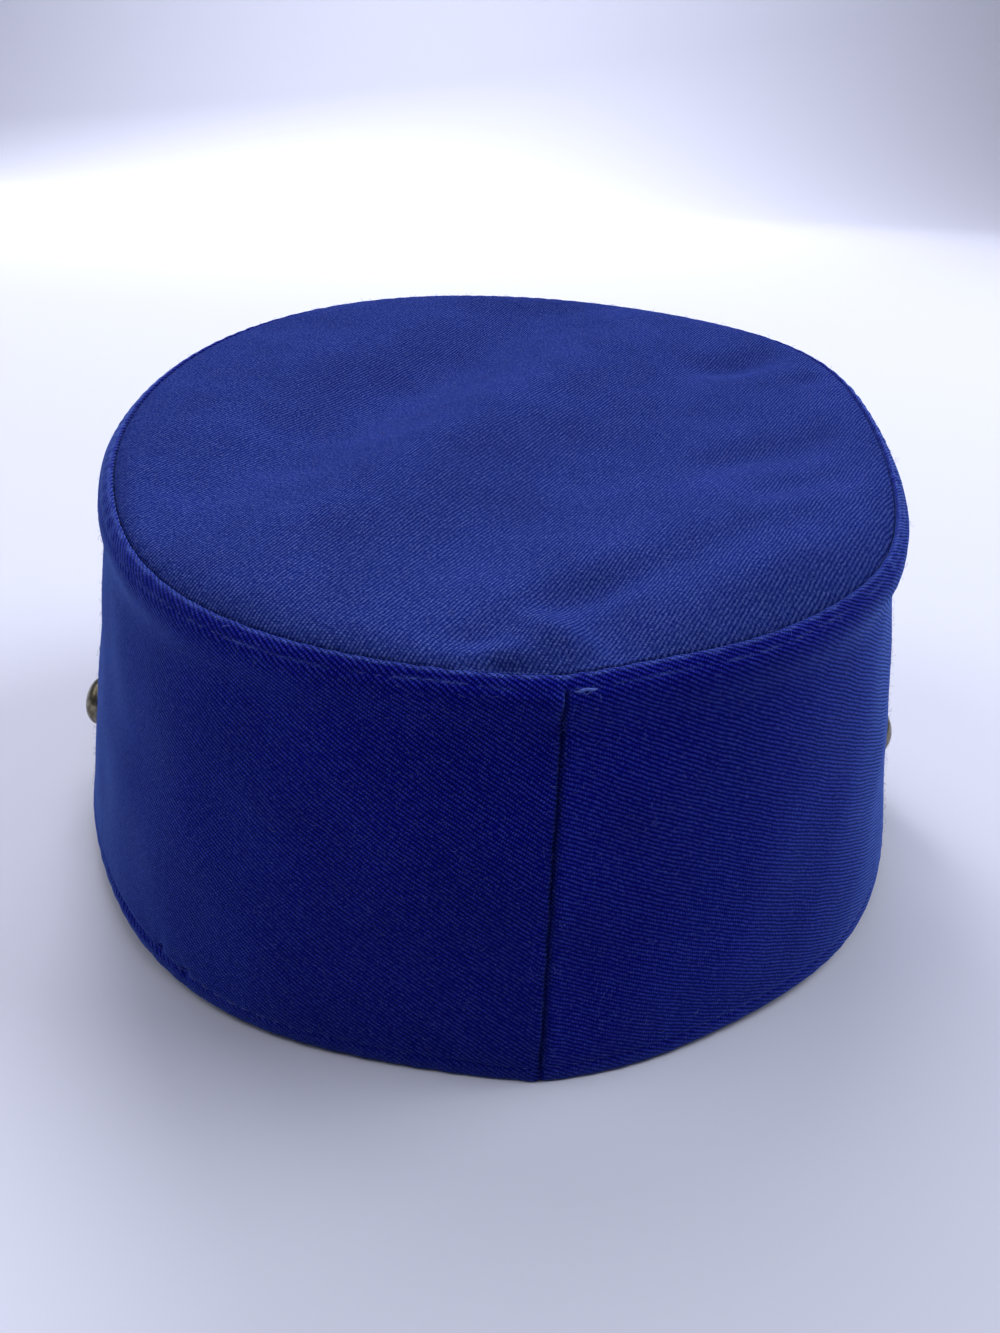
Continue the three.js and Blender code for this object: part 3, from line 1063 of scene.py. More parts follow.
@dataclass
class Band:
    """The crown's side: one width of twill round the head, seamed at the back, hemmed, and rolled at the top.

    Attributes:
        hem_fold: How far above the hem its stitches lie. The rim's lie rim_fold below the ridge, less where
            the line rises.
        stitch_dent: How deep the cloth is dented along both rows of stitches.
        pucker: How high the gathers are that the stitches make at the rim and the hem.
        wales: The slant of the twill's ridges on the seam's two sides, in degrees.
        edge_profile: The hem's underside, as inset and height.
        roll: The rolled edge at the top, as inset and drop.
        inner_parts: How far up the inner wall's rows lie. Its hem's rows are given as inset and height.
    """

    form: CrownForm
    seat: Seat
    columns: int = 780
    hem_fold: float = 3.7
    rim_fold: float = 2.5
    rim_line_rises: tuple[Ridge, ...] = (Ridge(7, 7, 0.8), Ridge(-48, 24, 0.9))
    rim_line_sway: Ripple = Ripple(5, 23, seed=21, height=0.12)
    rim_tension: Tension = Tension(Ripple(4, 19, seed=13, height=0.05), Ridge(29, 7, 0.07))
    hem_tension: Tension = Tension(Ripple(4, 19, seed=17, height=0.07), Ridge(29, 7, 0.16))
    stitch_dent: float = 0.22
    stitch_width: float = 0.45
    pucker: float = 0.05
    rim_wave: Ripple = Ripple(70, 150, seed=3)
    rim_gather: Ridge = Ridge(1.1, 1.5)
    rim_hollow: float = 0.45
    edge_fade: float = 9.0
    hem_wave: Ripple = Ripple(60, 140, seed=5)
    hem_gathers: tuple[Ridge, ...] = (Ridge(1.8, 2.2, 0.8), Ridge(7.0, 4.0, -0.4))
    welt_round: Ridge = Ridge(46.0, 8.0)
    welt: tuple[Ridge, ...] = (Ridge(2.7, 0.8, 0.3), Ridge(4.0, 0.4, -0.4))
    nicks: tuple[Nick, ...] = (
        Nick(39.8, 4.4, 0.9, 0.9),
        Nick(35.2, 4.1, 0.8, 0.8),
        Nick(48.0, 3.8, 0.7, 0.4),
    )
    seam: BackSeam = BackSeam()
    drape: Drape = Drape(16.0, 46.0, seed=11, height=0.14)
    wales: tuple[float, float] = (-32.5, -26.0)
    edge_profile: tuple[tuple[float, float], ...] = ((1.1, 0.0), (0.65, 0.03), (0.3, 0.16), (0.1, 0.42))
    roll: tuple[tuple[float, float], ...] = (
        (0.0, 3.0), (0.14, 2.25), (0.45, 1.6), (0.92, 1.02), (1.5, 0.5), (2.0, 0.16), (2.3, 0.0),
        (2.55, -0.06), (2.8, 0.0), (2.98, 0.22), (3.1, 0.7), (3.2, 2.0), (3.2, 5.0),
    )
    inner_parts: tuple[float, ...] = (0.92, 0.8, 0.65, 0.5, 0.35, 0.2, 0.08)
    inner_hem: tuple[tuple[float, float], ...] = ((2.35, 0.4), (2.1, 0.12), (1.7, 0.0))

    def __post_init__(self) -> None:
        """Works out the outer face once, for the band and all that is sewn on it."""
        self.angle = angles_round(self.form.seam_at, self.columns)
        self.ridge_row = 0
        self.outer = self._outer_rows()
        self.normal = surface_normals(self.outer)
        self.run = run_along(self.outer)
        self.outer = self.outer + self.normal * self._relief()[..., None]

    def _level_rows(self, profile: Sequence[tuple[float, float]]) -> list[Points]:
        """Rows round the band, each at an inset and a height."""
        angle, wall_at = self.angle, self.form.wall_at
        return [wall_at(angle, np.full_like(angle, height), inset) for inset, height in profile]

    def _outer_rows(self) -> Points:
        """Lays the outer face's rows, close together near the hem and the rim.

        Returns:
            The rows, from the hem's underside up the wall, over the roll and down into the seam.
        """
        top = self.form.wall_top(self.angle)
        # The rows are near each other up to a height above the hem and from as far below the rim.
        low, high, near, far = 0.85, 8.5, 0.42, 2.2
        rows = self._level_rows(self.edge_profile)
        rows += self._level_rows([(0.0, height) for height in np.arange(low, high, near)])
        middle = max(2, round(float(top.mean() - 2 * high) / far))
        rows += [self.form.wall_at(self.angle, high + (top - 2 * high) * k / middle) for k in range(middle)]
        rows += [self.form.wall_at(self.angle, top - drop) for drop in np.arange(high, near / 2, -near)]
        roll = rounded_path(np.array(self.roll), 1)
        self.ridge_row = len(rows) + int(roll[:, 1].argmin())
        rows += [self.form.rim(self.angle, inset, drop) for inset, drop in roll]
        return np.stack(rows)

    def rim_line(self) -> Points:
        """How far below the ridge the stitches of the top seam lie, at each angle."""
        rise = sum(row.round(self.angle) for row in self.rim_line_rises)
        return self.rim_fold - rise + self.rim_line_sway.at(self.angle)

    def _relief(self) -> Points:
        """Adds up the seams, stitches, puckers and soft waves.

        Returns:
            How far the cloth stands out from its plain form at each point of the outer face.
        """
        angle, height = self.angle[None, :], self.run
        from_ridge = self.run[self.ridge_row] - self.run
        below = np.maximum(from_ridge, 0.0)
        dents = bell(from_ridge - self.rim_line(), self.stitch_width)
        dents = dents + bell(height - self.hem_fold, self.stitch_width)
        hollow = self.rim_hollow * np.exp(-below / self.edge_fade) * smooth_step((below - 2.0) / 2.0)
        gathers = self.rim_wave.at(angle) * (self.rim_gather.over(below) - hollow)
        gathers = gathers + self.hem_wave.at(angle) * sum(row.over(height) for row in self.hem_gathers)
        away = smooth_step(below / self.edge_fade) * smooth_step(height / self.edge_fade)
        waves = self.drape.at(self._round_run()[None, :-1], self.run) * away
        welt = self.welt_round.round(angle) * sum(row.over(height) for row in self.welt)
        nicks = sum(nick.relief(self._arc(nick.at), height) for nick in self.nicks)
        outside = smooth_step((below - 1.9) / 0.9) * smooth_step((from_ridge + 0.4) / 0.4)
        seam = self.seam.relief(self._arc(self.form.seam_at), height, from_ridge) * outside
        return self.pucker * gathers - self.stitch_dent * dents + waves + welt + nicks + seam

    def _wear_and_seam_shade(self) -> Points:
        """Finds how much the outer face is rubbed, along the ridge, the rows of stitches and the hem, and
        where shade is painted deep in the back seam.

        Returns:
            The wear at each point, with the painted shade deep in the back seam below 0.
        """
        angle, height = self.angle, self.run
        from_ridge = self.run[self.ridge_row] - self.run
        patchy = 0.5 + Ripple(20, 90, seed=29, height=0.5).at(angle)
        ridge = Ridge(0.2, 0.27).over(from_ridge) * (1 + Ripple(30, 120, seed=19, height=0.5).at(angle))
        rim_stitches = Ridge(0.0, 0.2, 0.9).over(from_ridge - self.rim_line()) * patchy
        hem_stitches = Ridge(self.hem_fold, 0.22, 0.6).over(height) * Ridge(34, 11).round(angle) * patchy
        hem = Ridge(1.5, 1.4, 0.25).over(height) + hem_stitches
        # Deep in the back seam the value falls below 0, and the twill turns that into painted shade.
        painted_cleft_shade = Ridge(0.3, 0.62).over(self._arc(self.form.seam_at)) * smooth_step((from_ridge - 4.5) / 1.5)
        return np.clip(ridge + rim_stitches + hem, 0.0, 1.2) * (1 - painted_cleft_shade) - painted_cleft_shade

    def _arc(self, at: float) -> Points:
        """The distance round the band from an angle, in millimetres."""
        radius = np.linalg.norm(self.outer[..., :2], axis=-1)
        return np.radians(wrap(self.angle[None, :] - at)) * radius

    def _round_run(self) -> Points:
        """Measures the way round the band at half its height.

        Returns:
            The distance from the seam at each angle, and once more at the seam.
        """
        middle = self.form.wall(self.angle, 0.5)
        steps = np.linalg.norm(np.roll(middle, -1, axis=0) - middle, axis=-1)
        return np.concatenate([[0.0], np.cumsum(steps)])

    def _weave(self, rows: int) -> Points:
        """Lays the cloth flat, turned so that the first axis crosses the twill's ridges.

        Args:
            rows: How many rows the band has.

        Returns:
            The place of each point on the flat cloth.
        """
        round_it = self._round_run()[None, :]
        start, end = self.wales
        turn = np.radians(start + (end - start) * (round_it / round_it[0, -1]))
        step = np.diff(round_it, axis=1)
        slide, reach = (
            np.concatenate([[[0.0]], np.cumsum(part[:, 1:] * step, axis=1)], axis=1)
            for part in (np.sin(turn), np.cos(turn))
        )
        up = np.concatenate([self.run, self.run[:, :1]], axis=1)
        inner_height = 60
        up = np.concatenate([up, up[:1] - np.linspace(0, inner_height, rows + 1 - len(up))[:, None]])
        return np.stack([up * np.cos(turn) + slide, reach - up * np.sin(turn)], axis=-1)

    def build(self, cloth: Material) -> Piece:
        """Makes the band of its cloth and says how it was cut.

        Args:
            cloth: The cloth's material.

        Returns:
            The band: its outer face, its inner wall and the hem's underside.
        """
        inner = [self.form.wall(self.angle, part, self.form.wall_thickness) for part in self.inner_parts]
        rows = np.concatenate([self.outer, np.stack(inner + self._level_rows(self.inner_hem))])
        wear_and_seam_shade = np.zeros(rows.shape[:2])
        wear_and_seam_shade[: len(self.outer)] = self._wear_and_seam_shade()
        skin = Skin(rows, joined=True, weave=self._weave(len(rows)), wear_and_seam_shade=wear_and_seam_shade)
        piece = finish_piece(skin.build("crown_band", self.seat), Slot.BAND, cloth, ["crown_side"])
        return piece

    def line(
        self, from_hem: float | None = None, from_ridge: Points | None = None, lift: Points = 0.0
    ) -> tuple[Points, Points]:
        """A line round the band at a distance along its cloth.

        Args:
            from_hem: The distance up from the hem, or None.
            from_ridge: The distance down from the ridge at the top seam, or None.
            lift: How far the line lies off the cloth, at each angle.

        Returns:
            The line's points and their outward directions, in the hat's upright frame.
        """
        wanted = from_hem if from_ridge is None else self.run[self.ridge_row] - from_ridge
        wanted = np.broadcast_to(wanted, self.angle.shape)
        place = np.arange(self.columns)
        above = np.array([np.searchsorted(self.run[: self.ridge_row, i], wanted[i]) for i in place])
        above = np.clip(above, 1, self.ridge_row)
        low, high = self.run[above - 1, place], self.run[above, place]
        share = ((wanted - low) / (high - low))[:, None]
        points = self.outer[above - 1, place] * (1 - share) + self.outer[above, place] * share
        normal = self.normal[above, place]
        return points + normal * np.broadcast_to(lift, self.angle.shape)[:, None], normal


@dataclass(frozen=True)
class Patch:
    """A soft place in the top by its edge, at an angle and a distance in from the seam."""

    round: Ridge
    inward: Ridge

    def at(self, angle: Points, to_edge: Points) -> Points:
        """The rise at angles and distances in from the seam."""
        return self.round.round(angle) * self.inward.over(to_edge)


@dataclass
class Top:
    """The crown's flat top: an oval of twill, sewn in just below the ridge, its edge puffed, softly folded.

    Attributes:
        edge_inset: How far in from the rim's widest line its seam lies.
        puff: How high the cloth stands above its seam, once it is puff_reach or more from it.
        slack: Where it stands up less, as a share of the puff.
        plump: Where it stands up more, once it is plump_reach or more from the seam.
        dent: Where the back seam's bulk pulls it down.
        gathers: The small waves that the stitches make, as far in as gather_at says.
        fold_margin: How near to the seam the folds reach. The far margin keeps them off it at the front.
        wall: The thickness of the cloth and its lining. The flange is the depth of its seam allowance.
        edge_radius: The radius over which the edge turns down into the seam, by edge_turns in degrees.
        under_parts: The places of the underside's rows, 0 at the middle and 1 at the seam.
        wale_turn: The slant of the twill's ridges, in degrees.
    """

    form: CrownForm
    seat: Seat
    columns: int = 780
    edge_inset: float = 3.5
    puff: float = 1.8
    puff_reach: float = 2.5
    slack: Patch = Patch(Ridge(-9.5, 5), Ridge(0, 14, 0.95))
    plump: Patch = Patch(Ridge(-50, 20, 3.8), Ridge(0, 26))
    plump_reach: float = 9.0
    dent: Patch = Patch(Ridge(2.0, 3.0, 1.5), Ridge(0.4, 2.0))
    gathers: Ripple = Ripple(80, 160, seed=31, height=0.05)
    gather_at: Ridge = Ridge(1.2, 2.4)
    fold_margin: float = 3.5
    far_margin: Ridge = Ridge(180, 75, 5.0)
    wall: float = 2.0
    flange: float = 6.5
    wale_turn: float = 33.0
    edge_radius: float = 0.9
    edge_turns: tuple[float, ...] = (20, 40, 60, 78)
    edge_drop: float = 0.1
    edge_roll: float = 0.35
    flange_wall: float = 1.8
    under_parts: tuple[float, ...] = (0.94, 0.8, 0.6, 0.4, 0.2, 0.05)
    folds: tuple[Fold, ...] = (
        Fold(7, 6, 31, 52, 14, 4.0),
        Fold(20, -22, 31, 58, 15, -6.6),
        Fold(-10, 30, 33, 38, 11, -2.2),
        Fold(-34, 45, 55, 26, 8, 1.7),
        Fold(-58, -37, 56, 15, 6, -3.2),
        Fold(-72, -25, 60, 7, 3.5, -1.5),
        Fold(-63, 8, 35, 10, 5, -2.0),
        Fold(-46, 17, 60, 11, 4.5, -1.5),
        Fold(-63, 25, 30, 6, 3.5, -1.3),
        Fold(-49, 33, 57, 11, 3.5, -1.4),
        Fold(-37, 37, 20, 5, 1.5, -0.7),
        Fold(-12, 64, 62, 13, 4, -2.2),
        Fold(-6, 75, -39, 9, 3.5, 1.3),
        Fold(6, 77, 60, 6, 3.5, -1.3),
        Fold(-42, 58, 55, 16, 6, 1.9),
    )
    drape: Drape = Drape(14.0, 40.0, seed=23, height=0.1)

    def __post_init__(self) -> None:
        """Works out the places round the top once."""
        self.angle = angles_round(self.form.seam_at, self.columns)
        self.upper = np.stack(self._upper_rows())

    def row(self, part: float, drop: float = 0.0) -> Points:
        """Lays one row of the upper face, or of the face under it.

        Args:
            part: The row's place, 0 at the middle and 1 at the seam.
            drop: How far below the upper face it lies.

        Returns:
            The row's points.
        """
        form, angle = self.form, self.angle
        edge = form.rim(angle, self.edge_inset, 0.0)
        centre = np.array([form.rim_x, form.rim_y])
        out = edge[:, :2] - centre
        to_edge = np.linalg.norm(out, axis=-1) * (1 - part)
        x, y = (centre + out * part).T
        puff = self.puff * (1 - self.slack.at(angle, to_edge)) * (1 - np.exp(-to_edge / self.puff_reach))
        puff = puff + self.plump.at(angle, to_edge) * (1 - np.exp(-to_edge / self.plump_reach))
        puff = puff + self.gathers.at(angle) * self.gather_at.over(to_edge) - self.dent.at(angle, to_edge)
        soft = sum(fold.at(x, y) for fold in self.folds) + self.drape.at(x, y)
        soft = soft * (1 - bell(to_edge, self.fold_margin + self.far_margin.round(angle)))
        z = form.top_plane(x, y) - form.dip(angle) * part**3 + puff + soft - drop
        return np.stack([x, y, z], axis=-1)

    def _upper_rows(self) -> list[Points]:
        """Lays the upper face, closer together where it puffs, and turns it down into the seam.

        Returns:
            The rows, from near the middle to the seam.
        """
        near_middle, puffed = 0.02, 0.9
        coarse = np.linspace(near_middle, puffed, 40)
        fine = 1 - (1 - puffed) * np.linspace(1, 0, 22)[1:] ** 1.35
        rows = [self.row(float(part)) for part in np.concatenate([coarse, fine])]
        for a in np.radians(self.edge_turns):
            drop = self.edge_radius * (1 - math.cos(a)) + self.edge_drop
            rows.append(self.form.rim(self.angle, self.edge_inset - self.edge_roll * math.sin(a), drop))
        return rows

    def build(self, cloth: Material) -> Piece:
        """Makes the top of its cloth and says how it was cut.

        Args:
            cloth: The cloth's material.

        Returns:
            The top, with its seam allowance turned down and its underside.
        """
        form, angle = self.form, self.angle
        outer = self.edge_inset - self.edge_roll
        flange = [form.rim(angle, outer, drop) for drop in (1.6, 4.0, self.flange)]
        under = [form.rim(angle, outer + self.flange_wall, drop) for drop in (self.flange, 3.0)]
        under += [self.row(part, self.wall) for part in self.under_parts]
        rows = np.concatenate([self.upper, np.stack([*flange, *under])])
        a = math.radians(self.wale_turn)
        x, y = rows[..., 0], rows[..., 1]
        flat = np.stack([x * math.cos(a) - y * math.sin(a), x * math.sin(a) + y * math.cos(a)], axis=-1)
        weave = np.concatenate([flat, flat[:, :1]], axis=1)
        skin = Skin(rows, weave=weave)
        piece = finish_piece(skin.build("crown_disc", self.seat), Slot.TOP, cloth, ["crown_top"])
        return piece


# ---------------------------------------------------------------- sewing and nap


def new_group(name: str, values: dict[str, Any]) -> tuple[Tree, Adder, Any]:
    """Starts a tree of geometry nodes with named inputs.

    Args:
        name: The tree's name.
        values: The value of each input after the geometry, which says what kind of input it is.

    Returns:
        The tree, what adds a node to it, and the outputs that give its inputs.
    """
    kinds = {float: "NodeSocketFloat", int: "NodeSocketInt", Material: "NodeSocketMaterial"}
    group = bpy.data.node_groups.new(name, "GeometryNodeTree")
    group.interface.new_socket("Geometry", in_out="INPUT", socket_type="NodeSocketGeometry")
    for label, value in values.items():
        group.interface.new_socket(label, in_out="INPUT", socket_type=kinds[type(value)])
    group.interface.new_socket("Geometry", in_out="OUTPUT", socket_type="NodeSocketGeometry")
    add = partial(add_node, group)
    return group, add, add("NodeGroupInput").outputs


def bent_strand(add: Adder, arc: dict[str, Any], radius: Source, sides: int) -> Node:
    """Bends a strand of thread or fibre, with closed ends.

    Args:
        add: What adds a node to the tree.
        arc: The start, middle and end of the strand's line, and its steps as its resolution.
        radius: The strand's radius.
        sides: How many sides it has.

    Returns:
        The node that gives its mesh.
    """
    line = add("GeometryNodeCurveQuadraticBezier", arc)
    ring = add("GeometryNodeCurvePrimitiveCircle", {"Resolution": sides, "Radius": radius})
    return add("GeometryNodeCurveToMesh", {"Curve": line, "Profile Curve": ring, "Fill Caps": True})


def random_between(add: Adder, low: Sequence[Source], high: Sequence[Source], seed: Source) -> Node:
    """Three random numbers for each copy, each between its lowest and highest value."""
    inputs = {0: add("ShaderNodeCombineXYZ", low), 1: add("ShaderNodeCombineXYZ", high), "Seed": seed}
    return add("FunctionNodeRandomValue", inputs, data_type="FLOAT_VECTOR")


def grow(piece: Piece, group: Tree, values: dict[str, Any], slot: Slot) -> Piece:
    """Runs a tree of nodes on a piece, keeps its result as a plain mesh and finishes it.

    Args:
        piece: The object that the tree starts from.
        group: The tree.
        values: The value of each of its named inputs.
        slot: The material slot for the result.

    Returns:
        The same object, with the result as its mesh and no modifier.
    """
    modifier = piece.modifiers.new(group.name, "NODES")
    modifier.node_group = group
    for item in group.interface.items_tree:
        if item.in_out == "INPUT" and item.name in values:
            modifier[item.identifier] = values[item.name]
    bpy.context.view_layer.update()
    done = piece.evaluated_get(bpy.context.evaluated_depsgraph_get())
    mesh = bpy.data.meshes.new_from_object(done)
    piece.modifiers.clear()
    piece.data = mesh
    mesh.name = piece.name
    return finish_piece(piece, slot)


@dataclass(frozen=True)
class Stitching:
    """Rows of short stitches, each a thread that rises from the cloth and sinks into it again.

    Attributes:
        pitch: The distance from stitch to stitch.
        thread: The thread's radius.
        rise: How far a stitch's middle stands off the cloth. Its ends sink into it by the next.
        uneven: How much the stitches' lengths and heights differ, as a share of them.
    """

    pitch: float = 2.9
    length: float = 1.9
    thread: float = 0.075
    rise: float = 0.06
    sink: float = 0.2
    uneven: float = 0.12
    steps: int = 6
    sides: int = 6

    def tree(self, values: dict[str, Any]) -> Tree:
        """Builds the tree that sets a stitch at each step along a line.

        Args:
            values: The values of its named inputs.

        Returns:
            The tree.
        """
        group, add, given = new_group("sewn_line", values)
        line = add("GeometryNodeMeshToCurve", (given["Geometry"],))
        steps = {"Curve": line, "Length": given["Pitch"]}
        steps = add("GeometryNodeCurveToPoints", steps, mode="LENGTH")
        back, half = (add(MATH, (given["Length"], share), operation="MULTIPLY") for share in (-0.5, 0.5))
        down = add(MATH, (given["Sink"], -1.0), operation="MULTIPLY")
        crest = add(MATH, (given["Rise"], 2.0, given["Sink"]), operation="MULTIPLY_ADD")
        arc = {
            "Resolution": self.steps,
            "Start": add("ShaderNodeCombineXYZ", {"X": back, "Z": down}),
            "Middle": add("ShaderNodeCombineXYZ", {"Z": crest}),
            "End": add("ShaderNodeCombineXYZ", {"X": half, "Z": down}),
        }
        stitch = bent_strand(add, arc, given["Thread radius"], self.sides)
        outward = add("GeometryNodeInputNamedAttribute", {"Name": OUTWARD}, data_type="FLOAT_VECTOR")
        along = {"Vector": steps.outputs["Tangent"]}
        along = add("FunctionNodeAlignRotationToVector", along, axis="X", pivot_axis="AUTO")
        raised = {"Rotation": along, "Vector": outward}
        raised = add("FunctionNodeAlignRotationToVector", raised, axis="Z", pivot_axis="X")
        least, most = (add(MATH, (1.0, given["Unevenness"]), operation=way) for way in ("SUBTRACT", "ADD"))
        scale = random_between(add, (least, 1.0, least), (most, 1.0, most), given["Seed"])
        sewn = {"Points": steps, "Instance": stitch, "Rotation": raised, "Scale": scale}
        solid = add("GeometryNodeRealizeInstances", (add("GeometryNodeInstanceOnPoints", sewn),))
        dressed = {"Geometry": add("GeometryNodeSetShadeSmooth", (solid,)), "Material": given["Thread"]}
        add("NodeGroupOutput", (add("GeometryNodeSetMaterial", dressed),))
        return group

    def sew(self, name: str, line: tuple[Points, Points], seat: Seat, thread: Material, seed: int) -> Piece:
        """Sews a line of stitches.

        Args:
            name: The piece's name.
            line: The line's points and outward directions.
            seat: What carries them to the frame of the solids.
            thread: The thread's material.
            seed: What the stitches' unevenness starts from.

        Returns:
            The stitches, as one piece.
        """
        points, outward = line
        edges = [(i, (i + 1) % len(points)) for i in range(len(points))]
        piece = new_piece(name, seat.carry(points).tolist(), [], edges)
        layer = piece.data.attributes.new(OUTWARD, "FLOAT_VECTOR", "POINT")
        layer.data.foreach_set("vector", seat.direction(outward).ravel())
        values = {
            "Pitch": self.pitch * MM,
            "Length": self.length * MM,
            "Thread radius": self.thread * MM,
            "Rise": self.rise * MM,
            "Sink": self.sink * MM,
            "Unevenness": self.uneven,
            "Seed": seed,
            "Thread": thread,
        }
        return grow(piece, self.tree(values), values, Slot.BAND)


@dataclass(frozen=True)
class Nap:
    """Loose fibres that stand off the cloth, drawn thicker than life so that they show.

    Attributes:
        count: How many fibres there are.
        lean: How far a fibre may lean over, and tip the other way, in radians.
        rootedness: How deep its root lies in the cloth.
        bend: How far it bends, as a share of its length.
        sizes: The shortest and the longest fibre, as shares of the length.
    """

    count: int = 4500
    length: float = 0.8
    radius: float = 0.018
    lean: float = 0.9
    rootedness: float = 0.1
    bend: float = 0.45
    tip: float = 0.1
    steps: int = 4
    sides: int = 3
    sizes: tuple[float, float] = (0.5, 1.5)
    seed: int = 41

    def tree(self, values: dict[str, Any]) -> Tree:
        """Builds the tree that scatters bent fibres over a cloth.

        Args:
            values: The values of its named inputs.

        Returns:
            The tree.
        """
        group, add, given = new_group("cloth_nap", values)
        spread = {"Mesh": given["Geometry"], "Density": given["Density"], "Seed": given["Seed"]}
        spread = add("GeometryNodeDistributePointsOnFaces", spread).outputs
        bend = add(MATH, (given["Length"], self.bend), operation="MULTIPLY")
        arc = {
            "Resolution": self.steps,
            "Start": add("ShaderNodeCombineXYZ", {"Z": -self.rootedness * MM}),
            "Middle": add("ShaderNodeCombineXYZ", {"X": bend, "Z": bend}),
            "End": add("ShaderNodeCombineXYZ", {"X": given["Length"], "Y": bend}),
        }
        fibre = bent_strand(add, arc, given["Radius"], self.sides)
        leaning = add(MATH, (given["Lean"], -1.0), operation="MULTIPLY")
        tumble = random_between(add, (0.0, leaning), (0.0, self.tip, 2 * math.pi), given["Seed"])
        turned = (spread["Rotation"], add("FunctionNodeEulerToRotation", (tumble,)))
        turned = add("FunctionNodeRotateRotation", turned, rotation_space="LOCAL")
        size = {2: self.sizes[0], 3: self.sizes[1], "Seed": given["Seed"]}
        size = add("FunctionNodeRandomValue", size, data_type="FLOAT").outputs[1]
        grown = {"Points": spread["Points"], "Instance": fibre, "Rotation": turned, "Scale": size}
        solid = add("GeometryNodeRealizeInstances", (add("GeometryNodeInstanceOnPoints", grown),))
        dressed = {"Geometry": solid, "Material": given["Fibre"]}
        add("NodeGroupOutput", (add("GeometryNodeSetMaterial", dressed),))
        return group

    def grow_on(self, name: str, rows: Points, seat: Seat, slot: Slot, fibre: Material) -> Piece:
        """Grows the nap on the outer face of a cloth.

        Args:
            name: The piece's name.
            rows: The face's rows of points, each round the hat, in the order that goes up or in.
            seat: What carries them to the frame of the solids.
            slot: The cloth's material slot.
            fibre: The fibres' material.

        Returns:
            The fibres, as one piece.
        """
        count, size = rows.shape[:2]
        place = np.arange(count * size).reshape(count, size)
        beside = np.roll(place, -1, axis=1)
        faces = np.stack([place[:-1], place[1:], beside[1:], beside[:-1]], axis=-1).reshape(-1, 4)
        piece = new_piece(name, seat.carry(rows.reshape(-1, 3)).tolist(), faces.tolist(), smooth=False)
        values = {
            "Density": self.count / sum(face.area for face in piece.data.polygons),
            "Length": self.length * MM,
            "Radius": self.radius * MM,
            "Lean": self.lean,
            "Seed": self.seed,
            "Fibre": fibre,
        }
        return grow(piece, self.tree(values), values, slot)


@dataclass(frozen=True)
class Strand:
    """One strand of the knot: how far aside it sways, how high it stands, and its radius."""

    aside: float
    height: float
    radius: float


@dataclass(frozen=True)
class Knot:
    """The tied end of the top seam's thread: a few loose strands that lie on the rim beside the back seam."""

    start: float = -4.7
    end: float = -7.0
    strands: tuple[Strand, ...] = (
        Strand(0.0, 0.16, 0.25),
        Strand(0.1, 0.12, 0.17),
        Strand(-0.09, 0.08, 0.15),
        Strand(0.5, 0.3, 0.045),
    )
    below_stitches: float = 0.1
    sunk: float = 0.08
    sway_turns: float = 1.1
    wobble: float = 0.1
    wobble_pace: float = 9.0
    thin_ends: float = 0.4
    sides: int = 8
    steps: int = 24

    def build(self, band: Band, thread: Material) -> Piece:
        """Makes the knot of its thread, on the band's stitched line.

        Args:
            band: The band that the knot lies on.
            thread: The thread's material.

        Returns:
            The knot, as one piece.
        """
        angle = wrap(band.angle)
        order = np.argsort(angle)
        turn = np.linspace(self.start, self.end, self.steps)
        at, off = (
            np.stack([np.interp(turn, angle[order], part[order, k]) for k in range(3)], axis=-1)
            for part in band.line(from_ridge=band.rim_line() + self.below_stitches)
        )
        across = np.cross(np.gradient(at, axis=0), off)
        across /= np.linalg.norm(across, axis=-1, keepdims=True)
        share = np.linspace(0, 1, self.steps)[:, None]
        arch = np.sin(math.pi * share)
        ring = np.radians(np.arange(self.sides) * FULL_TURN / self.sides)[None, :, None]
        pieces = []
        for number, strand in enumerate(self.strands):
            sway = strand.aside * np.cos(2 * self.sway_turns * math.pi * share + number)
            sway = sway + self.wobble * np.sin(self.wobble_pace * share + number)
            path = at + across * sway + off * (strand.height * arch**0.7 - self.sunk)
            thick = strand.radius * (self.thin_ends + (1 - self.thin_ends) * arch**0.6)[:, None]
            rows = path[:, None] + thick * (np.cos(ring) * across[:, None] + np.sin(ring) * off[:, None])
            pieces.append(Skin(rows).build(f"rim_knot_{number}", band.seat))
        return finish_piece(join(pieces, "rim_knot"), Slot.BAND, thread)


# ---------------------------------------------------------------- peak, strap and buttons


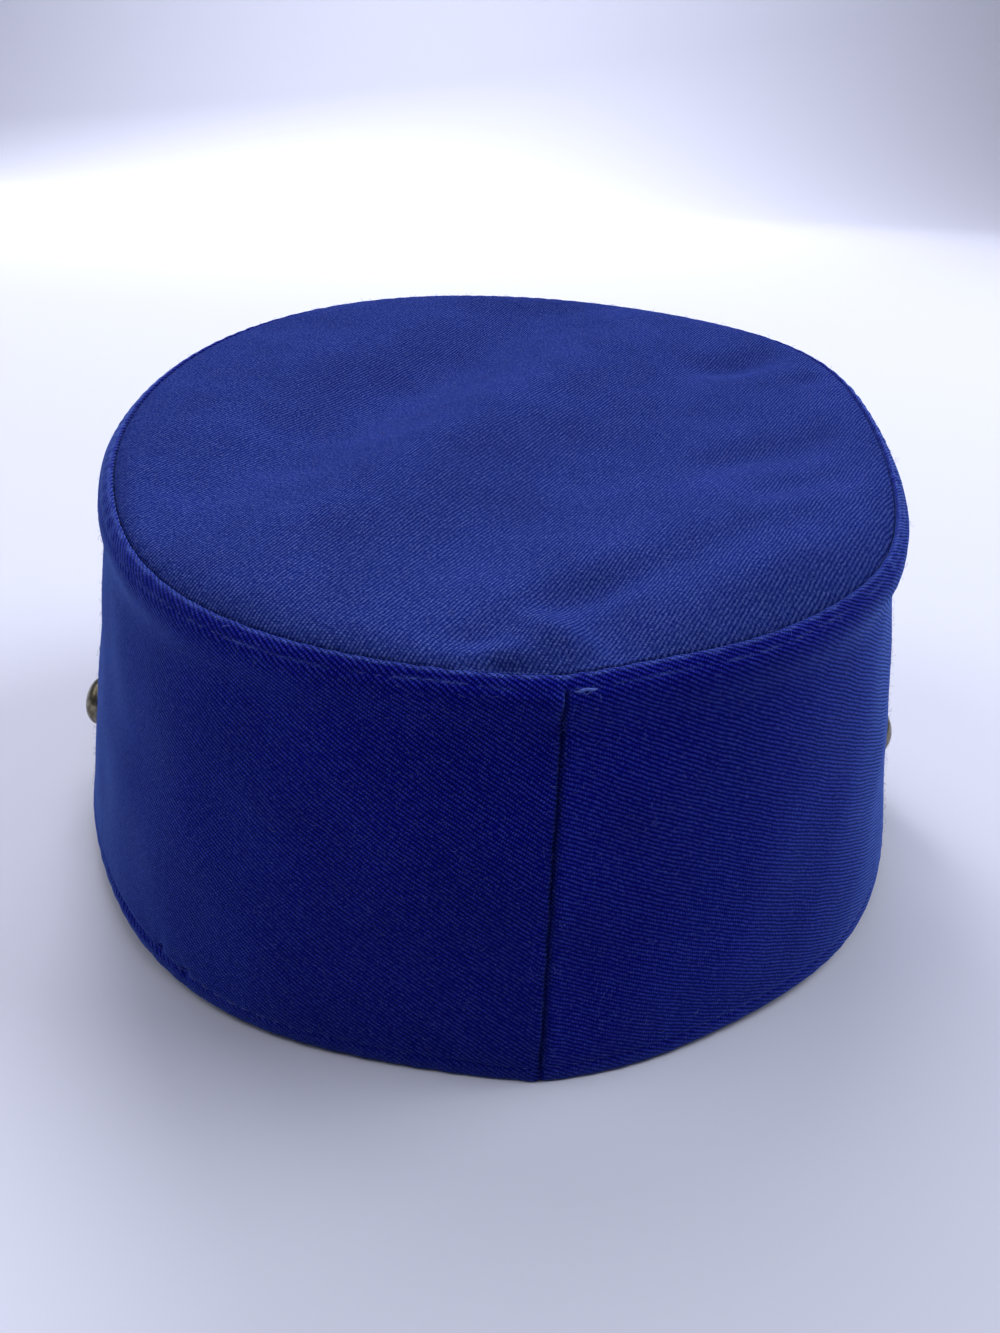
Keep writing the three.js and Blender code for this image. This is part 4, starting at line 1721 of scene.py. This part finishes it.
@dataclass
class Peak:
    """The stiff peak: a flange sewn inside the band, a fold under the hem and a cambered blade.

    Attributes:
        half_span: How far round from the front its ends lie, in degrees. It is level as far as level_span.
        flange: How far it goes up inside the band.
        camber: How far its middle stands above a flat blade.
        fall: How far its ends fall, as a share of their reach.
        outline: The powers that shape its outline, which keeps at least a small share at the ends.
        lip: How far its edge bulges, as a share of half its thickness.
        fit: The small gap between it and the band.
    """

    form: CrownForm
    seat: Seat
    half_span: float = 62.0
    level_span: float = 26.0
    reach: float = 45.0
    wall: float = 1.8
    flange: float = 8.0
    camber: float = 2.2
    fall: float = 0.05
    least: float = 0.03
    outline: tuple[float, float] = (2.4, 0.75)
    lip: float = 0.7
    lip_turns: tuple[float, ...] = (15, 40, 65, 90, 115, 140, 165)
    fit: float = 0.3
    root_drop: float = 0.2
    stations: int = 161
    rows: int = 20

    def table_height(self, y: Points) -> Points:
        """The height of what the hat lies on, in the hat's upright frame."""
        rest_line = self.form.hem(np.array([self.form.seam_at]))[0, 1]
        return (y - rest_line) * math.tan(math.radians(self.form.tilt))

    def section(self, turn: float) -> Points:
        """One closed loop round the peak's thickness.

        Args:
            turn: The place along the peak, from -1 to 1.

        Returns:
            The loop's points.
        """
        angle = np.array([180.0 + turn * self.half_span])
        half = self.wall / 2
        sharp, full = self.outline
        reach = self.reach * max(self.least, 1 - abs(turn) ** sharp) ** full
        inset = self.form.wall_thickness + self.fit + half
        top = self.form.wall_at(angle, np.array([self.flange]), inset)[0]
        root = self.form.wall_at(angle, np.array([0.0]), inset)[0] - np.array([0, 0, self.root_drop])
        bend = self.form.wall_at(angle, np.array([0.0]), inset - self.wall)[0]
        bend[2] = -self.fit - self.wall
        outward = polar(angle, 1.0)[0]
        edge = bend + outward * reach
        offset = abs(turn) * self.half_span - self.level_span
        level = 1 - float(smooth_step(offset / (self.half_span - self.level_span)))
        edge[2] = (bend[2] - self.fall * reach) * (1 - level) + (self.table_height(edge[1]) + half) * level
        share = np.linspace(0, 1, self.rows)[1:, None]
        blade = bend + (edge - bend) * share
        blade[:, 2] += self.camber * np.sin(np.pi * share[:, 0]) * reach / self.reach
        spine = np.concatenate([rounded_path(np.stack([top, root, bend, blade[0]]), 2), blade[1:]])
        run = np.gradient(spine, axis=0)
        normal = -run[:, 2:] * outward + (run @ outward)[:, None] * np.array([0, 0, 1.0])
        normal /= np.linalg.norm(normal, axis=1, keepdims=True)
        tip = run[-1] / np.linalg.norm(run[-1])
        lip = [
            spine[-1] + half * (math.cos(a) * normal[-1] + self.lip * math.sin(a) * tip)
            for a in np.radians(self.lip_turns)
        ]
        return np.concatenate([spine + half * normal, np.array(lip), (spine - half * normal)[::-1]])

    def build(self, vinyl: Material) -> Piece:
        """Makes the peak of its vinyl.

        Args:
            vinyl: The vinyl's material.

        Returns:
            The peak, as one piece.
        """
        rows = np.stack([self.section(turn) for turn in np.linspace(-1, 1, self.stations)])
        return finish_piece(Skin(rows).build("peak_blade", self.seat), Slot.PEAK, vinyl, ["peak"])


@dataclass
class Strap:
    """The front strap: a narrow vinyl strip that lies on the band from button to button, with round ends.

    Attributes:
        left_at: The angle of the button at +X. The right one's is at -X.
        height: How far above the base its middle lies.
        fit: The small gap between it and the band.
        crown: How much thicker it is in the middle of its width.
        edge_wall: How thick its edge is, as a share of its thickness, and edge_power how sharp that edge is.
        short: How much less than half its width it reaches past a button's middle.
    """

    form: CrownForm
    seat: Seat
    left_at: float = 88.5
    right_at: float = -85.3
    width: float = 11.5
    wall: float = 1.0
    height: float = 8.0
    fit: float = 0.25
    crown: float = 0.25
    edge_wall: float = 0.5
    edge_power: int = 10
    short: float = 1.0
    stations: int = 260
    end_stations: int = 12
    rows: int = 13

    def _degrees(self, length: float) -> float:
        """The turn that a length along the band takes near the left button."""
        here = self.form.wall_at(np.array([self.left_at, self.left_at + 1]), np.array([self.height] * 2))
        return length / float(np.linalg.norm(here[1] - here[0]))

    def build(self, vinyl: Material) -> Piece:
        """Makes the strap of its vinyl.

        Args:
            vinyl: The vinyl's material.

        Returns:
            The strap, as one piece.
        """
        half = self.width / 2
        beyond, tip = self._degrees(half - self.short), self._degrees(half)
        first, last = self.left_at - beyond, FULL_TURN + self.right_at + beyond
        ends = 1 - np.cos(np.linspace(0.1, math.pi / 2, self.end_stations))
        between = np.linspace(first + tip, last - tip, self.stations)[1:-1]
        angles = np.concatenate([first + tip * ends, between, (last - tip * ends)[::-1]])
        rows = []
        for angle in angles:
            part = min(1.0, min(angle - first, last - angle) / tip)
            reach = half * math.sqrt(max(0.0, 1 - (1 - part) ** 2))
            across = np.linspace(-1, 1, self.rows)
            edge = np.sqrt(np.clip(1 - np.abs(across) ** self.edge_power, 0, 1))
            thick = self.wall * (self.edge_wall + (1 - self.edge_wall) * edge)
            thick = thick + self.crown * (1 - across**2) - self.crown / 2
            heights = self.height + reach * across
            turns = np.full_like(across, angle)
            back = self.form.wall_at(turns, heights, -self.fit)
            face = back + polar(turns, thick)
            rows.append(np.concatenate([face, back[::-1]]))
        piece = Skin(np.stack(rows)).build("strap_band", self.seat)
        return finish_piece(piece, Slot.STRAP, vinyl, ["front_strap"])


@dataclass
class Button:
    """A domed metal button with a rolled rim, at one end of the strap.

    Attributes:
        at: Its angle round the hat.
        rise: How high its dome stands. The skirt is how high its rim does.
        rim: The rim, as inset from its radius and height.
        dome_inset: How far in from its radius the dome starts, a step above the skirt.
    """

    name: str
    strap: Strap
    at: float
    radius: float = 6.3
    rise: float = 4.4
    skirt: float = 0.8
    step: float = 0.12
    rim: tuple[tuple[float, float], ...] = ((0.5, 0.0), (0.12, 0.16), (0.0, 0.45), (0.06, 0.78), (0.3, 0.98))
    dome_inset: float = 0.32
    fit: float = 0.25
    sides: int = 72

    def profile(self) -> Points:
        """Draws the button's outline.

        Returns:
            The outline's points as radius and height, from the back's middle to the dome's top.
        """
        flat_back = [(0.02, 0.0), (2.5, 0.0)]
        rim = [(self.radius - inset, height) for inset, height in self.rim]
        turn = np.radians(np.linspace(4, 89.7, 22))
        across, base = self.radius - self.dome_inset, self.skirt + self.step
        dome = [(across * math.cos(a), base + (self.rise - base) * math.sin(a)) for a in turn]
        return np.array(flat_back + rim + dome)

    def build(self, metal: Material) -> Piece:
        """Makes the button of its metal, on the strap's end.

        Args:
            metal: The metal's material.

        Returns:
            The button, as one piece.
        """
        strap = self.strap
        normal = strap.form.wall_normal(self.at, strap.height)
        stand = strap.fit + strap.wall + self.fit
        place = strap.form.wall_at(np.array([self.at]), np.array([strap.height]))[0] + normal * stand
        side = np.cross(normal, [0.0, 0.0, 1.0])
        side /= np.linalg.norm(side)
        over = np.cross(side, normal)
        turn = np.radians(np.arange(self.sides) * FULL_TURN / self.sides)[None, :, None]
        radius, rise = (self.profile()[:, k, None, None] for k in range(2))
        rows = place + radius * (np.cos(turn) * side + np.sin(turn) * over) + rise * normal
        piece = Skin(rows).build(self.name + "_dome", strap.seat)
        return finish_piece(piece, Slot.BUTTON, metal, [self.name])


# ---------------------------------------------------------------- the studio


@dataclass(frozen=True)
class Softbox:
    """A soft lamp: where it hangs, in metres from the middle of the hat, its size, power and colour."""

    name: str
    place: tuple[float, float, float]
    size: float
    power: float
    colour: str
    faces: tuple[float, float, float] = (0.0, 0.0, 0.0)

    def hang(self, middle: Vector) -> None:
        """Hangs the lamp so that it faces its mark, by default the hat.

        Args:
            middle: The middle of the hat.
        """
        target = middle + Vector(self.faces)
        data = bpy.data.lights.new(self.name, "AREA")
        data.shape, data.size, data.energy = "DISK", self.size, self.power
        data.color = linear(self.colour)[:3]
        lamp = bpy.data.objects.new(self.name, data)
        lamp.location = middle + Vector(self.place)
        lamp.rotation_euler = (target - lamp.location).to_track_quat("-Z", "Y").to_euler()
        bpy.context.scene.collection.objects.link(lamp)


@dataclass(frozen=True)
class Studio:
    """A plain pale floor, soft lamps, and a camera close behind the hat and above it.

    Attributes:
        floor_half: Half the floor's depth in metres, as far as its sweep, whose radius is the next.
        lens: The camera's focal length. Its distances from the hat's middle plane, behind the band and above
            the floor follow, all in millimetres.
        azimuth: Where it looks from, in degrees round from the peak, with its pitch and roll.
    """

    floor_half: float = 3.0
    sweep: float = 1.5
    floor_colour: str = "#cbccd8"
    air_colour: str = "#d2d8ec"
    air_strength: float = 0.09
    lens: float = 27.0
    aside: float = 10.2
    behind: float = 116.8
    above: float = 137.4
    azimuth: float = 176.88
    pitch: float = 26.98
    roll: float = 2.70
    lamps: tuple[Softbox, ...] = (
        Softbox("sky_beyond", (0.5, -2.5, 3.1), 3.0, 78.0, "#f6f7ff"),
        Softbox("sky_low", (0.75, -3.0, 1.75), 1.4, 68.0, "#f6f7ff"),
        Softbox("sky_above", (0.0, 0.2, 2.5), 2.5, 13.0, "#f4f6ff"),
        Softbox("sky_left", (1.6, 0.1, 1.7), 1.4, 16.0, "#f2f5ff"),
        Softbox("sky_right", (-1.4, -0.2, 1.3), 1.2, 28.0, "#ebf0fb"),
        Softbox("far_wall_wash", (0.0, -2.6, 2.4), 2.0, 60.0, "#eef1ff", faces=(0.0, -5.0, 0.6)),
    )

    def build(self) -> None:
        """Lays the floor, hangs the lamps and sets the camera."""
        low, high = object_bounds()
        self._lay_floor()
        self._fill_air()
        for lamp in self.lamps:
            lamp.hang((Vector(low) + Vector(high)) / 2)
        self._set_camera(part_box("crown_side")[1].y)
        bpy.context.scene.view_settings.view_transform = "Standard"

    def _lay_floor(self) -> None:
        """Lays a matt pale floor that sweeps up far beyond the hat."""
        half, bend = self.floor_half, self.sweep
        turn = np.radians(np.linspace(0, 90, 25))
        sweep = zip(-half - bend * np.sin(turn), bend * (1 - np.cos(turn)))
        run = [(half, 0.0), *sweep, (-half - bend, 2 * half)]
        points = [(side, y, z) for y, z in run for side in (-2 * half, 2 * half)]
        floor = new_piece("floor", points, [(i, i + 2, i + 3, i + 1) for i in range(0, 2 * len(run) - 2, 2)])
        material, add = new_material("pale_floor")
        paper = {"Base Color": linear(self.floor_colour), "Roughness": 0.9, "Specular IOR Level": 0.2}
        add("ShaderNodeOutputMaterial", {"Surface": add("ShaderNodeBsdfPrincipled", paper)})
        floor.data.materials.append(material)
        floor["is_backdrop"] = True

    def _fill_air(self) -> None:
        """Fills the studio with soft light from all sides."""
        world = bpy.data.worlds.new("studio_air")
        world.use_nodes = True
        world.node_tree.nodes.clear()
        add = partial(add_node, world.node_tree)
        air = {"Color": linear(self.air_colour), "Strength": self.air_strength}
        add("ShaderNodeOutputWorld", {"Surface": add("ShaderNodeBackground", air)})
        bpy.context.scene.world = world

    def _set_camera(self, back: float) -> None:
        """Sets the camera behind the hat.

        Args:
            back: How far back the hat reaches, in metres.
        """
        azimuth, pitch, roll = (math.radians(a) for a in (self.azimuth, self.pitch, self.roll))
        out = math.cos(pitch)
        away = Vector((math.sin(azimuth) * out, -math.cos(azimuth) * out, math.sin(pitch)))
        level = (-away).cross(Vector((0, 0, 1))).normalized()
        upright = level.cross(-away)
        right = math.cos(roll) * level + math.sin(roll) * upright
        up = math.cos(roll) * upright - math.sin(roll) * level
        data = bpy.data.cameras.new("camera")
        data.lens, data.sensor_width, data.clip_start = self.lens, 36.0, 0.005
        camera = bpy.data.objects.new("camera", data)
        matrix = Matrix((right, up, away)).transposed().to_4x4()
        matrix.translation = Vector((self.aside * MM, back + self.behind * MM, self.above * MM))
        camera.matrix_world = matrix
        bpy.context.scene.collection.objects.link(camera)
        bpy.context.scene.camera = camera


# ---------------------------------------------------------------- assembly


def main() -> None:
    """Builds the hat's pieces in order, then the studio."""
    logging.basicConfig(level=logging.INFO, format="%(name)s: %(message)s")
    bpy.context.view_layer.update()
    form = CrownForm()
    seat = Seat.on_solids(form)
    # The band's twill gets a pale sheen painted into its colour towards the outline (painted_sheen).
    twill = Twill(
        "royal_blue_twill", "#323da4", "#070c85", "#00015a", relief=0.34, specular=0.04, sheen=0.15, painted_sheen=0.8
    )
    # A paler, greyer copy of the band's twill for the top: the sheen that the top catches is painted into its
    # colour.
    top_twill_painted_sheen = Twill(
        "blue_twill_painted_sheen", "#5160a4", "#27367b", "#0c185e",
        wale=0.62, relief=0.13, specular=0.0, sheen=0.0, weave_share=0.6, fuzz_share=1.5, fuzz_scale=2.2,
    )
    thread = Yarn("sewing_thread", light="#3d4ea8", dark="#18237c").build()
    fibre = Yarn("loose_fibre", light="#4c5cb0", dark="#1c2a88").build()

    band = Band(form, seat)
    band.build(twill.build())
    top = Top(form, seat)
    top.build(top_twill_painted_sheen.build())
    rim_line = band.line(from_ridge=band.rim_line(), lift=band.rim_tension.at(band.angle))
    Stitching(pitch=2.5, length=1.9).sew("rim_stitches", rim_line, seat, thread, seed=51)
    hem_line = band.line(from_hem=band.hem_fold, lift=band.hem_tension.at(band.angle))
    Stitching(pitch=3.1, length=2.3).sew("hem_stitches", hem_line, seat, thread, seed=52)
    Knot().build(band, Yarn("thread_end", light="#4560b8", dark="#22368f").build())
    hem_rows = 7
    Nap().grow_on("side_nap", band.outer[hem_rows:], seat, Slot.BAND, fibre)
    Nap(count=3000, seed=43).grow_on("top_nap", top.upper[::-1], seat, Slot.TOP, fibre)

    Peak(form, seat).build(PatentVinyl("peak_patent").build())
    strap = Strap(form, seat)
    strap.build(PatentVinyl("strap_patent", grain=0.9).build())
    metal = AntiqueBrass().build()
    Button("button_left", strap, strap.left_at).build(metal)
    Button("button_right", strap, strap.right_at).build(metal)

    Studio().build()


if __name__ == "__main__":
    main()
